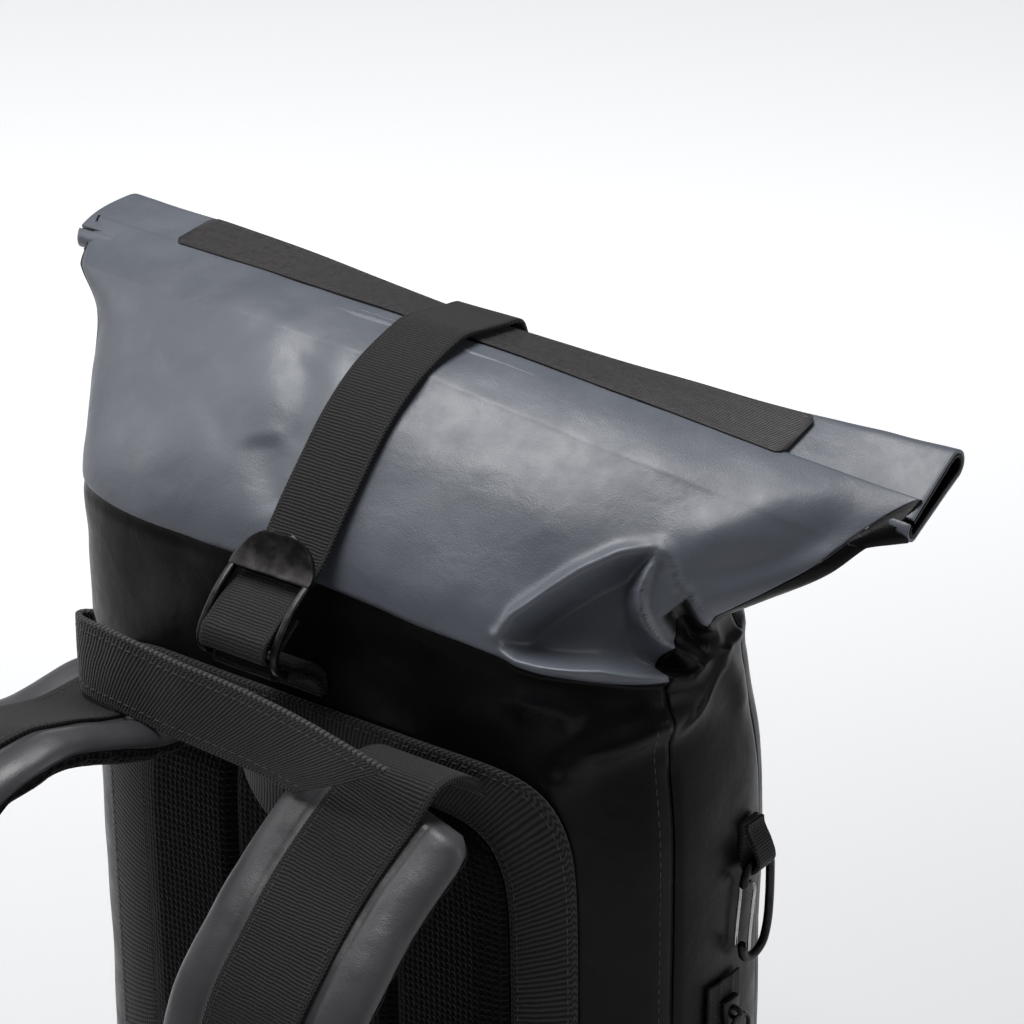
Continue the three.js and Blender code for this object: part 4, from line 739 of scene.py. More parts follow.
def smooth_path(points, count):
    """Even points on the smooth curve through the given ones, the way along it, and its length."""
    points = np.array([np.asarray(p, float).reshape(3) for p in points])
    ends = [2 * points[0] - points[1], *points, 2 * points[-1] - points[-2]]
    dense = []
    for p0, p1, p2, p3 in zip(ends, ends[1:], ends[2:], ends[3:]):
        d0, d1, d2 = (max(np.linalg.norm(b - a), 1e-6) ** 0.5 for a, b in ((p0, p1), (p1, p2), (p2, p3)))
        start = ((p1 - p0) / d0 - (p2 - p0) / (d0 + d1) + (p2 - p1) / d1) * d1
        stop = ((p2 - p1) / d1 - (p3 - p1) / (d1 + d2) + (p3 - p2) / d2) * d1
        t = np.linspace(0, 1, 24, endpoint=False)[:, None]
        dense.append(
            (2 * t**3 - 3 * t**2 + 1) * p1 + (t**3 - 2 * t**2 + t) * start
            + (3 * t**2 - 2 * t**3) * p2 + (t**3 - t**2) * stop
        )
    at, length = even_steps(np.concatenate([*dense, points[-1:]]), count)
    way = np.gradient(at, axis=0)
    return at, way / np.linalg.norm(way, axis=1, keepdims=True), length


def stations(points, count, hint):
    """Even points along a path, each with the direction across it and the one out of it."""
    at, way, length = smooth_path(points, count)
    side = np.array([hint(u) if callable(hint) else hint for u in np.linspace(0, 1, count)], float)
    side -= way * np.sum(side * way, axis=1, keepdims=True)
    side /= np.linalg.norm(side, axis=1, keepdims=True)
    return at, side, np.cross(side, way), length


def along_rows(rows, w):
    """Rows of points read at shares of their length."""
    at = w * (len(rows) - 1)
    return np.stack([np.interp(at, range(len(rows)), rows[:, k]) for k in range(rows.shape[1])], -1)


# The webbing's two tones: the dark one is painted shade in the valleys between the ribs, the light one
# painted light on the rib tops.
RIB_VALLEY_SHADE = (0.0035, 0.0033, 0.0037)
RIB_TOP_LIGHT = (0.0125, 0.0118, 0.0128)
YARN_WIDTH = 1.15


def webbing_finish(name, width, pitch=1.3, pale=1.0):
    """Woven strap: ribs across it, plaited edges, a little lint, a dry sheen on the ribs, and painted light
    and shade: rib tops painted lighter than the valleys between them.
    """
    finish, tree, shader = new_finish(name)
    where = add_node(tree, "ShaderNodeTexCoord", {}).outputs["UV"]
    split = add_node(tree, "ShaderNodeSeparateXYZ", {"Vector": where})
    across, along = split.outputs["X"], split.outputs["Y"]
    slip = reckon(tree, "MULTIPLY", grain(tree, where, 0.12, 2.0), 1.2)
    rib_at = reckon(tree, "ADD", along, slip)
    rib = reckon(tree, "SINE", reckon(tree, "MULTIPLY", rib_at, 2 * math.pi / pitch))
    rib = reckon(tree, "MULTIPLY_ADD", rib, 0.5, 0.5)
    yarn = reckon(tree, "SINE", reckon(tree, "MULTIPLY", across, 2 * math.pi / YARN_WIDTH))
    yarn = reckon(tree, "MULTIPLY_ADD", yarn, 0.5, 0.5)
    from_edge = reckon(tree, "SUBTRACT", width / 2, reckon(tree, "ABSOLUTE", across))
    edge = between(tree, from_edge, 2.1, 1.5)
    off_middle = reckon(tree, "ABSOLUTE", reckon(tree, "SUBTRACT", from_edge, 0.9))
    slant = reckon(tree, "MULTIPLY_ADD", off_middle, 1.6, along)
    plait = reckon(tree, "SINE", reckon(tree, "MULTIPLY", slant, 2 * math.pi / (pitch * 1.25)))
    plait = reckon(tree, "MULTIPLY_ADD", plait, 0.5, 0.5)
    weave = add_node(tree, "ShaderNodeMix", {"Factor": edge, "A": rib, "B": plait}).outputs[0]
    lint = grain(tree, where, 1.3, 5.0, 0.65)
    # Painted light and shade: the colour follows the weave, light on the rib tops and dark in the valleys,
    # with the lint's own random tone over it.
    tone = reckon(tree, "MULTIPLY", weave, between(tree, lint, 0.2, 0.75, 0.55, 1.0))
    crest = tuple(pale * part for part in RIB_TOP_LIGHT)
    tree.links.new(shade(tree, tone, RIB_VALLEY_SHADE, crest), shader.inputs["Base Color"])
    tree.links.new(between(tree, weave, 0.0, 1.0, 0.85, 0.6), shader.inputs["Roughness"])
    shader.inputs["Specular IOR Level"].default_value = 0.3
    shader.inputs["Sheen Weight"].default_value = 0.12
    shader.inputs["Sheen Roughness"].default_value = 0.45
    raise_surface(tree, shader, (weave, 0.00022), (yarn, 0.00008), (lint, 0.00014))
    return finish


def lay_strap(rows, width, ripple=0.0):
    """Webbing along stations, with a slight ripple where it isn't pulled tight."""
    at, side, out, _ = rows

    def place(u, w):
        points = along_rows(at, w) + along_rows(side, w) * ((u - 0.5) * width)[:, None]
        if ripple:
            points += along_rows(out, w) * (unrest(points, 22.0, 4.0) * ripple)[:, None]
        return points
    return place


def webbing_piece(name, rows, width, count, finish, ripple=0.0):
    """A length of webbing with its thickness and soft edges."""
    strap = spread_sheet(name, 14, count, lay_strap(rows, width, ripple), width, rows[3], finish)
    give_wall(strap, WEBBING, 0.0, WEBBING_EDGE)
    return strap


webbing_30 = webbing_finish("webbing_30", STRAP_WIDTH)
CLASP_TOP = SEAM_HEIGHT - 18
CLASP_HEIGHT = 27
CLASP_METAL = 2.2
CLASP_BAR = 3.5
clasp_y = float(off_wall("front_y", STRAP_X, CLASP_TOP - CLASP_HEIGHT / 2, 3 + CLASP_METAL / 2)[1])
clasp_face = clasp_y + CLASP_METAL / 2 + WEBBING_SEAT
clasp_back = clasp_y - CLASP_METAL / 2 - WEBBING_SEAT
clasp_bar = CLASP_TOP - CLASP_BAR


def strap_plane(y, z):
    return np.array((STRAP_X, y, z))


def over_roll(across, sink):
    return on_roll(STRAP_X, across, sink)


def over_hood(v, lift):
    """A point over the hood's highest line under the strap."""
    columns = np.linspace(-1.6, 1.0, 7)
    here, below, above = (
        max(body_cloth(np.full(7, at), columns), key=lambda p: p[2])
        for at in (v, v - 0.4, min(v + 0.4, 11.9))
    )
    way = (above - below) * np.array((0, 1, 1))
    way /= np.linalg.norm(way)
    return strap_plane(here[1] - way[2] * lift, here[2] + way[1] * lift)


over_tape = STRIP_LIFT + WEBBING_SEAT + 1.0
bar_turn = BAR_DIAMETER / 2 + WEBBING_SEAT + 0.9
closure_path = [
    strap_plane(clasp_back + 0.2, CLASP_TOP + 18),
    strap_plane(clasp_back, CLASP_TOP + 3),
    strap_plane(clasp_back, clasp_bar),
    strap_plane(clasp_back + 0.9, clasp_bar - WEBBING_SEAT - 1.2),
    strap_plane(clasp_face - 0.9, clasp_bar - WEBBING_SEAT - 1.2),
    strap_plane(clasp_face, clasp_bar),
    strap_plane(clasp_face, CLASP_TOP + 4),
    strap_plane(clasp_face + 1, CLASP_TOP + 20),
    over_roll(1.02, ROLL_THICKNESS * 2),
    over_roll(1.05, ROLL_THICKNESS * 0.8),
    over_roll(1.07, ROLL_THICKNESS * 0.5),
    over_roll(1.02, ROLL_THICKNESS * 0.08),
    over_roll(0.93, -over_tape * 0.9),
    over_roll(0.7, -over_tape),
    over_roll(0.4, -over_tape),
    over_roll(0.1, -over_tape),
    over_hood(11.5, 3.1),
    over_hood(10.7, 2.3),
    over_hood(9.9, 2.1),
    over_hood(9.2, 2.5),
    over_hood(8.7, 3.2),
    on_buckle(0, 4, -5.6),
    on_buckle(0, 16, -4),
    on_buckle(0, 22, -1.6),
    on_buckle(0, 29, 0.8),
    on_buckle(0, 36, 1.9),
    on_buckle(0, BAR_T - 1, BAR_H + bar_turn),
    on_buckle(0, BAR_T + bar_turn, BAR_H),
    on_buckle(0, BAR_T, BAR_H - bar_turn),
    on_buckle(0, 36, -6.4),
    on_buckle(0, 26, -7.6),
]
closure_rows = stations(closure_path, 420, X_AXIS)
closure = webbing_piece("closure_strap", closure_rows, STRAP_WIDTH, 420, webbing_30, ripple=0.25)
join_bag(closure, "closure_strap")

# The webbing loop that is sewn to the front and holds the clasp, and the one on the back that holds
# the buckle by its lip: each goes round its bar and lies double.
low_bar = CLASP_TOP - CLASP_HEIGHT
second_layer = WEBBING_SEAT + WEBBING + GAP


def off_front(z, out):
    return strap_plane(off_wall("front_y", STRAP_X, z, out)[1], z)


def off_back(z, out):
    return strap_plane(off_wall("back_y", STRAP_X, z, out)[1], z)


loop_path = [
    off_front(low_bar - 26, WEBBING_SEAT),
    off_front(low_bar - 12, WEBBING_SEAT),
    strap_plane(clasp_back, low_bar - 3),
    strap_plane(clasp_back, low_bar + CLASP_BAR),
    strap_plane(clasp_back + 0.9, low_bar + CLASP_BAR + WEBBING_SEAT + 1.2),
    strap_plane(clasp_face - 0.9, low_bar + CLASP_BAR + WEBBING_SEAT + 1.2),
    strap_plane(clasp_face, low_bar + CLASP_BAR),
    strap_plane(clasp_face, low_bar - 3),
    off_front(low_bar - 14, second_layer + 0.6),
    off_front(low_bar - 26, second_layer),
]
front_loop = webbing_piece("front_loop", stations(loop_path, 100, X_AXIS), STRAP_WIDTH, 100, webbing_30)
join_bag(front_loop, "front_loop")

PAD_TOP = 317
lip = on_buckle(0, LIP_T, LIP_H).reshape(3)
lip_reach = BAR_DIAMETER / 2 + WEBBING_SEAT + 0.3
anchor_low = PAD_TOP + 6
anchor_path = [
    off_back(anchor_low, WEBBING_SEAT),
    off_back(anchor_low + 8, WEBBING_SEAT + 0.4),
    off_back(anchor_low + 15, 8),
    strap_plane(lip[1] + 9, lip[2] - 1.5),
    strap_plane(lip[1] + lip_reach * 0.6, lip[2] + lip_reach * 0.9),
    strap_plane(lip[1] - lip_reach * 0.6, lip[2] + lip_reach * 0.85),
    strap_plane(lip[1] - lip_reach, lip[2] - lip_reach * 0.3),
    strap_plane(lip[1] - lip_reach * 0.1, lip[2] - lip_reach),
    strap_plane(lip[1] + 7, lip[2] - 6),
    off_back(anchor_low + 10, 9.5),
    off_back(anchor_low + 4, second_layer + 1),
    off_back(anchor_low, second_layer + 0.4),
]
webbing_28 = webbing_finish("webbing_28", STRAP_WIDTH - 2)
anchor = webbing_piece("buckle_anchor", stations(anchor_path, 120, X_AXIS), STRAP_WIDTH - 2, 120, webbing_28)
join_bag(anchor, "buckle_anchor")

# The ladder buckle: pressed and coated metal, a curled thumb plate on two arms that bend down to a
# bar and a lip.
BUCKLE_WIDTH = 37
BUCKLE_METAL = 2.2
BUCKLE_ARM = 2.8
ARM_THICKNESS = 3
BUCKLE_PLATE = 16
PLATE_TABLE = {
    "down": (0, 0.04, 0.12, 0.3, 0.56, 0.8, 1),
    "wide": (0.24, 0.42, 0.6, 0.79, 0.93, 1, 0.995),
    "curl": (4, 3.6, 2.8, 1.7, 0.5, 0, 0),
}
ARM_PATH = ((11, -1.1), (21, 1.2), (31, 1.4), (BAR_T, BAR_H), (46.5, -7), (LIP_T, LIP_H - 1))


def metal_finish(name, dark, light, roughness):
    """Coated metal: fine rolled grain, faint handling marks, and brighter rubbed spots."""
    finish, tree, shader = new_finish(name)
    where = add_node(tree, "ShaderNodeTexCoord", {}).outputs["Object"]
    rub = grain(tree, where, 160.0, 6.0, 0.6)
    tree.links.new(shade(tree, between(tree, rub, 0.35, 0.7), dark, light), shader.inputs["Base Color"])
    tree.links.new(between(tree, rub, 0.3, 0.7, roughness, roughness + 0.12), shader.inputs["Roughness"])
    shader.inputs["Metallic"].default_value = 1.0
    raise_surface(tree, shader, (grain(tree, where, 2600.0, 2.0), 0.00003), (rub, 0.00006))
    return finish


gunmetal = metal_finish("gunmetal", (0.035, 0.033, 0.034), (0.06, 0.056, 0.057), 0.3)


def lay_plate(u, w):
    across = (u - 0.5) * read_table(PLATE_TABLE, "down", w, "wide") * BUCKLE_WIDTH
    dish = ((u - 0.5) * 2) ** 2 * 0.5
    return on_buckle(across, w * BUCKLE_PLATE, read_table(PLATE_TABLE, "down", w, "curl") - dish)


def lay_rod(rows, half_wide, half_thick, square=2.0):
    """A rod along stations, round or rounded square, with domed ends."""
    at, side, out, length = rows
    cap = min(half_wide, half_thick)

    def place(u, w):
        angle = u * 2 * math.pi
        from_end = np.minimum(w, 1 - w) * length
        dome = np.sqrt(np.clip(1 - (1 - np.clip(from_end / cap, 0, 1)) ** 2, 0, 1))
        bulge = (np.abs(np.cos(angle)) ** square + np.abs(np.sin(angle)) ** square) ** (-1 / square)
        wide, thick = half_wide * bulge * np.cos(angle) * dome, half_thick * bulge * np.sin(angle) * dome
        return along_rows(at, w) + along_rows(side, w) * wide[:, None] - along_rows(out, w) * thick[:, None]
    return place


def rod_piece(name, path, hint, half_wide, half_thick, finish, count=60, around=20, square=2.0):
    """A closed rod, its girth and length in its texture coordinates."""
    rows = stations(path, max(count, 8), hint)
    girth = 2 * math.pi * max(half_wide, half_thick)
    place = lay_rod(rows, half_wide, half_thick, square)
    return spread_sheet(name, around, count, place, girth, rows[3], finish)


plate = spread_sheet("ladder_buckle", 28, 20, lay_plate, BUCKLE_WIDTH, BUCKLE_PLATE, gunmetal)
give_wall(plate, BUCKLE_METAL, -1.0, 0.5)
join_bag(plate, "ladder_buckle")
arm_x = BUCKLE_WIDTH / 2 - BUCKLE_ARM / 2
for label, x in (("left", -arm_x), ("right", arm_x)):
    arm_path = [on_buckle(x, t, h) for t, h in ARM_PATH]
    arm = rod_piece(
        f"buckle_arm_{label}", arm_path, X_AXIS, BUCKLE_ARM / 2, ARM_THICKNESS / 2, gunmetal, 48, 24, 5.0,
    )
    join_bag(arm)
for label, t, h in (("bar", BAR_T, BAR_H), ("lip", LIP_T, LIP_H)):
    ends = [on_buckle(x, t, h) for x in (-arm_x, -arm_x / 3, arm_x / 3, arm_x)]
    bar = rod_piece(f"buckle_{label}", ends, BUCKLE_OUT, BAR_DIAMETER / 2, BAR_DIAMETER / 2, gunmetal, 24, 24)
    join_bag(bar)

# The clasp at the front and the two strap adjusters are flat stamped frames with slots, as they are
# in the model: they take the buckle's metal.
for name in ("front_hook", "strap_adjuster_right", "strap_adjuster_left"):
    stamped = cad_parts[name]
    stamped.data.materials.clear()
    stamped.data.materials.append(gunmetal)

# The back pad: spacer mesh over foam, sewn down in two channels from top to bottom, so that it stands
# in three soft columns.
PAD_BOTTOM = 40
PAD_HALF_WIDTH = 112
PAD_BORDER = 25
PAD_THICKNESS = 9
BORDER_THICKNESS = 3
BORDER_WALL = 2.2
PAD_CORNER = 0.1
MESH_THICKNESS = 2.0
CHANNEL = 0.43
pad_middle, pad_half = (PAD_TOP + PAD_BOTTOM) / 2, (PAD_TOP - PAD_BOTTOM) / 2


def on_pad(u, w, inset, out):
    """Points on the pad, from side to side and from foot to top, each from -1 to 1."""
    x = (PAD_HALF_WIDTH - inset) * u * (1 - PAD_CORNER * np.abs(w) ** 10)
    up = (pad_half - inset) * w * (1 - PAD_CORNER * 0.7 * np.abs(u) ** 10)
    return off_wall("back_y", x, pad_middle + up, out)


MESH_TONES = ((0.001, 0.0008, 0.001), (0.009, 0.007, 0.009))


def mesh_finish(name):
    """Spacer mesh: small open cells in a knit of dark yarn, the cells painted darker still as painted shade
    in the openings.
    """
    finish, tree, shader = new_finish(name)
    where = add_node(tree, "ShaderNodeTexCoord", {}).outputs["UV"]
    warped = add_node(tree, "ShaderNodeMapping", {"Vector": where, "Scale": (1.0, 0.82, 1.0)}).outputs[0]
    cells = add_node(tree, "ShaderNodeTexVoronoi", {"Vector": warped, "Scale": 0.42, "Randomness": 0.18})
    rim = between(tree, cells.outputs["Distance"], 0.22, 0.52)
    lint = grain(tree, where, 0.9, 4.0, 0.6)
    # Painted shade: the open cells are coloured darker than the yarn around them, for the shade inside them.
    tone = reckon(tree, "MULTIPLY", rim, between(tree, lint, 0.2, 0.8, 0.5, 1.0))
    tree.links.new(shade(tree, tone, *MESH_TONES), shader.inputs["Base Color"])
    shader.inputs["Roughness"].default_value = 0.8
    shader.inputs["Specular IOR Level"].default_value = 0.1
    shader.inputs["Sheen Weight"].default_value = 0.06
    shader.inputs["Sheen Roughness"].default_value = 0.4
    raise_surface(tree, shader, (rim, 0.0007), (lint, 0.0003))
    return finish


spacer_mesh = mesh_finish("spacer_mesh")


def lay_pad(u, w):
    u, w = u * 2 - 1, w * 2 - 1
    edge = np.clip((1 - np.maximum(np.abs(u), np.abs(w))) / 0.12, 0, 1)
    groove = np.exp(-(((np.abs(u) - CHANNEL) / 0.035) ** 2))
    quilt = 0.5 + 0.5 * np.cos(np.abs(u) / CHANNEL * math.pi * 2)
    high = BORDER_THICKNESS + (PAD_THICKNESS - BORDER_THICKNESS) * np.sqrt(edge) * (1 - 0.7 * groove)
    high += 0.9 * quilt * edge * (np.abs(u) < CHANNEL)
    return on_pad(u, w, PAD_BORDER + GAP, high)


pad_size = (2 * (PAD_HALF_WIDTH - PAD_BORDER), 2 * (pad_half - PAD_BORDER))
pad = spread_sheet("back_pad", 120, 124, lay_pad, *pad_size, spacer_mesh)
give_wall(pad, MESH_THICKNESS)
join_bag(pad, "back_pad")

# The pad's border: a wide flat binding of ribbed webbing that covers the mesh's cut edge. It goes all
# the way round and is sewn to the back along both of its own edges.
webbing_25 = webbing_finish("webbing_25", PAD_BORDER, 2.4, 3.0)


def lay_border(u, w):
    turn = (u * 4) % 4
    side = np.floor(turn).astype(int) % 4
    t = (turn - np.floor(turn)) * 2 - 1
    x = np.choose(side, [t, np.ones_like(t), -t, -np.ones_like(t)])
    y = np.choose(side, [-np.ones_like(t), t, np.ones_like(t), -t])
    crown = 0.7 * np.sin(np.clip(w, 0, 1) * math.pi)
    return on_pad(x, y, w * PAD_BORDER, BORDER_THICKNESS - 0.6 + crown)


border_length = 4 * (PAD_HALF_WIDTH + pad_half)
border = spread_sheet("pad_border", 320, 12, lay_border, border_length, PAD_BORDER, webbing_25)
for corner in border.data.uv_layers["UVMap"].data:
    corner.uv = (corner.uv[1] - PAD_BORDER / 2, corner.uv[0])
give_wall(border, BORDER_WALL)
join_bag(border, "pad_border")

# The haul handle: wide webbing laid double, stitched along both edges. It stands off the back, folds
# over the left shoulder strap and is cut at a slant by the right one.
HARNESS_X = -12
SHOULDER_TOP = PAD_TOP - 14
HANDLE_WIDTH = 32
HANDLE_LENGTH = 166
HANDLE_REACH = 52
HANDLE_THICKNESS = 2.6
HANDLE_UP = 21
HANDLE_PATH = (
    (-0.41, 0.6, 0.1), (-0.446, 0.68, 0.1), (-0.42, 0.78, 0.14), (-0.3, 0.88, 0.2), (-0.16, 0.92, 0.17),
    (0.15, 0.91, 0.05), (0.34, 0.97, -0.05), (0.506, 1, -0.16),
)
UNDERLAY_PATH = (
    (-0.13, 0.14, 0.1), (-0.09, 0.28, 0.03), (-0.03, 0.42, -0.12), (0.03, 0.49, -0.27), (0.09, 0.51, -0.42),
)
HANDLE_CUT = ((-0.5, 0, 0.5), (0, 0, 0.02), (0.72, 0.87, 1))
UNDERLAY_CUT = ((-0.5, 0, 0.5), (0, 0.02, 0.2), (0.96, 0.98, 1))


def lay_handle(path, rise, cut):
    """Webbing that stands upright along a path, cut to its own slant at each end."""
    line = []
    for along, out, up in path:
        y = -(BODY_DEPTH / 2 + out * HANDLE_REACH)
        line.append((HARNESS_X + along * HANDLE_LENGTH, y, SHOULDER_TOP + rise + up * HANDLE_WIDTH))
    at, way, length = smooth_path(line, 200)

    def place(u, w, lift=0.0):
        start, end = np.interp(u - 0.5, cut[0], cut[1]), np.interp(u - 0.5, cut[0], cut[2])
        t = start + (end - start) * w
        points = along_rows(at, t) + Z_AXIS * ((u - 0.5) * HANDLE_WIDTH)[:, None]
        here = along_rows(way, t)
        out = np.stack([here[:, 1], -here[:, 0], np.zeros(len(t))], -1)
        out /= np.linalg.norm(out, axis=1, keepdims=True)
        return points + out * (unrest(points, 26.0, 6.0) * 0.9 + lift)[:, None]
    return place, length


webbing_32 = webbing_finish("webbing_32", HANDLE_WIDTH, 1.9, 5.0)
handle_place, handle_length = lay_handle(HANDLE_PATH, HANDLE_UP, HANDLE_CUT)
handle = spread_sheet("haul_handle", 20, 130, handle_place, HANDLE_WIDTH, handle_length, webbing_32)
give_wall(handle, HANDLE_THICKNESS, 0.0, 0.5)
join_bag(handle, "haul_handle")
underlay_place, underlay_length = lay_handle(UNDERLAY_PATH, 0, UNDERLAY_CUT)
underlay = spread_sheet("handle_underlay", 20, 50, underlay_place, HANDLE_WIDTH, underlay_length, webbing_32)
give_wall(underlay, WEBBING, 0.0, WEBBING_EDGE)
join_bag(underlay, "handle_underlay")


def sew(name, points, out, length=2.8, gap=1.1, thick=0.55):
    """A row of raised thread stitches along a line on cloth."""
    points = np.asarray(points, float)
    gaps = np.linalg.norm(np.diff(points, axis=0), axis=1)
    run = np.concatenate([[0], np.cumsum(gaps)])
    bm = bmesh.new()
    for start in np.arange(gap, run[-1] - length, length + gap):
        ends = [
            np.array([np.interp(at, run, points[:, k]) for k in range(3)]) for at in (start, start + length)
        ]
        away = np.array([np.interp(start + length / 2, run, out[:, k]) for k in range(3)])
        way = (ends[1] - ends[0]) / np.linalg.norm(ends[1] - ends[0])
        away -= way * (away @ way)
        away /= np.linalg.norm(away)
        side = np.cross(way, away)
        sized = [(way[k] * length * MM, side[k] * thick * MM, away[k] * thick * MM, 0) for k in range(3)]
        turn = Matrix([*sized, (0, 0, 0, 1)]) @ Matrix.Rotation(math.pi / 2, 4, "Y")
        middle = Matrix.Translation((ends[0] + ends[1]) / 2 * MM)
        bmesh.ops.create_uvsphere(bm, u_segments=6, v_segments=4, radius=0.5, matrix=middle @ turn)
    for face in bm.faces:
        face.smooth = True
    bmesh.ops.recalc_face_normals(bm, faces=bm.faces)
    row = finish_piece(name, bm, thread)
    join_bag(row)


THREAD_TONES = ((0.02, 0.019, 0.021), (0.055, 0.052, 0.056))
thread, tree, shader = new_finish("thread")
where = add_node(tree, "ShaderNodeTexCoord", {}).outputs["Object"]
strand = grain(tree, where, 2500.0, 3.0)
tree.links.new(shade(tree, strand, *THREAD_TONES), shader.inputs["Base Color"])
shader.inputs["Roughness"].default_value = 0.6
shader.inputs["Sheen Weight"].default_value = 0.2
raise_surface(tree, shader, (strand, 0.0001))
steps = np.linspace(0.01, 0.985, 160)
for label, height in (("upper", 0.86), ("lower", 0.14)):
    level = np.full(len(steps), height)
    on_cloth = handle_place(level, steps, HANDLE_THICKNESS / 2)
    beyond = handle_place(level, steps, HANDLE_THICKNESS / 2 + 1)
    sew(f"handle_stitches_{label}", on_cloth, beyond - on_cloth)

# The shoulder straps: foam between a coated outer cover and a mesh lining, the cover turned over both
# edges, and the lining gathered in scallops along the seam.
SHOULDER_SPACING = 150
SHOULDER_WIDTH = 78
SHOULDER_THICKNESS = 13
SHOULDER_BOW = 110
SHOULDER_WEBBING = 40
STRAP_RIGHT = (
    (0.48, 0.27, 1.026), (0.46, 0.36, 1), (0.43, 0.564, 0.937), (0.423, 0.736, 0.881), (0.407, 0.89, 0.809),
    (0.4, 0.964, 0.71), (0.42, 0.927, 0.594), (0.46, 0.782, 0.462), (0.507, 0.582, 0.343),
)
STRAP_LEFT = (
    (-0.427, 0.064, 0.99), (-0.427, 0.273, 0.995), (-0.433, 0.473, 1), (-0.44, 0.682, 1.02),
    (-0.453, 0.909, 1.033), (-0.493, 1.091, 1.017), (-0.553, 1.245, 0.957), (-0.62, 1.336, 0.865),
    (-0.667, 1.327, 0.752), (-0.673, 1.218, 0.62), (-0.627, 0.955, 0.479), (-0.533, 0.636, 0.35),
)
STRAP_SHAPE = {
    "u": (0, 0.012, 0.03, 0.07, 0.55, 0.8, 0.94, 0.985, 1),
    "wide": (0.8, 0.93, 0.98, 1, 1, 0.9, 0.72, 0.6, 0.5),
}
STRAP_WALL = 0.8


def shoulder_path(table):
    return [
        (HARNESS_X + x * SHOULDER_SPACING, -(BODY_DEPTH / 2 + out * SHOULDER_BOW), up * SHOULDER_TOP)
        for x, out, up in table
    ]


def turn_left(u):
    return np.array((1.0, 0.0, 0.25 * max(0.0, 1 - abs(u - 0.24) / 0.24)))


def half_section(top):
    """Half of the strap's section, edge to edge: (side, out), each from -1 to 1."""
    side = np.sin(np.linspace(-math.pi / 2, math.pi / 2, 400))
    if top:
        out = (1 - np.abs(side) ** 9) ** (1 / 2.4)
    else:
        side = -side
        out = -((1 - np.abs(side) ** 6) ** (1 / 2.0))
    scaled = np.stack([side * SHOULDER_WIDTH / 2, out * SHOULDER_THICKNESS / 2], -1)
    even, girth = even_steps(scaled, 200)
    return even / (SHOULDER_WIDTH / 2, SHOULDER_THICKNESS / 2), girth


def lay_padding(rows, top):
    at, side, out, length = rows
    section, girth = half_section(top)

    def place(u, w):
        across, level = along_rows(section, u).T
        wide = read_table(STRAP_SHAPE, "u", w, "wide") * SHOULDER_WIDTH / 2
        x = np.abs(across) * wide
        deep = level * SHOULDER_THICKNESS / 2
        near_end = smooth(np.minimum(w, 1 - w) * length / 5)
        if top:
            sewn = np.exp(-(((x - SHOULDER_WEBBING / 2 - 2.5) / 1.3) ** 2))
            margin = np.exp(-(((x - SHOULDER_WIDTH / 2 + 9) / 5.5) ** 2))
            deep += level * (margin * 0.8 - sewn * 0.7)
        else:
            scallop = np.abs(np.sin(w * length * math.pi / 13.0))
            edge = np.exp(-(((np.abs(across) - 0.96) / 0.06) ** 2))
            across = across * (1 + 0.018 * edge * (scallop - 0.6))
            deep -= (scallop - 0.5) * 1.1 * edge
        deep = deep * (0.25 + 0.75 * near_end)
        points = along_rows(at, w) + along_rows(side, w) * (across * wide)[:, None]
        points -= along_rows(out, w) * deep[:, None]
        wave = unrest(points, 30.0, 7.0) * 0.7 + unrest(points, 11.0, 1.0) * 0.25
        return points - along_rows(out, w) * (wave * (np.abs(level) > 0.3))[:, None]
    return place, girth


strap_cover = coated_finish("strap_cover", (0.042, 0.04, 0.044), (0.06, 0.057, 0.062), 0.34, 0.55)
webbing_40 = webbing_finish("webbing_40", SHOULDER_WEBBING)
for label, table, hint in (("right", STRAP_RIGHT, X_AXIS), ("left", STRAP_LEFT, turn_left)):
    rows = stations(shoulder_path(table), 260, hint)
    top_place, top_girth = lay_padding(rows, True)
    cover = spread_sheet(f"shoulder_strap_{label}", 74, 190, top_place, top_girth, rows[3], strap_cover)
    give_wall(cover, STRAP_WALL)
    join_bag(cover, f"shoulder_strap_{label}")
    under_place, under_girth = lay_padding(rows, False)
    under = spread_sheet(f"strap_lining_{label}", 48, 250, under_place, under_girth, rows[3], spacer_mesh)
    give_wall(under, STRAP_WALL)
    join_bag(under)

# The webbing down each shoulder strap's outer face: it comes off the back panel, is sewn along both
# edges to the cover, and ends just short of the pad's lower end.
WEBBING_LIFT = SHOULDER_THICKNESS / 2 + WEBBING_SEAT + 2 * GAP
right_root = HARNESS_X + SHOULDER_SPACING * 0.48
left_root = HARNESS_X - SHOULDER_SPACING * 0.427
ROOTS = {
    "right": [
        (right_root, -(BODY_DEPTH / 2 + BORDER_THICKNESS + 3.4), SHOULDER_TOP + 3.2),
        (right_root, -(BODY_DEPTH / 2 + SHOULDER_BOW * 0.1), SHOULDER_TOP + 11.2),
        (right_root, -(BODY_DEPTH / 2 + SHOULDER_BOW * 0.2), SHOULDER_TOP + 17.6),
        (right_root, -(BODY_DEPTH / 2 + SHOULDER_BOW * 0.31), SHOULDER_TOP + 18.4),
    ],
    "left": [(left_root, -(BODY_DEPTH / 2 + BORDER_THICKNESS + 3), SHOULDER_TOP + 8)],
}
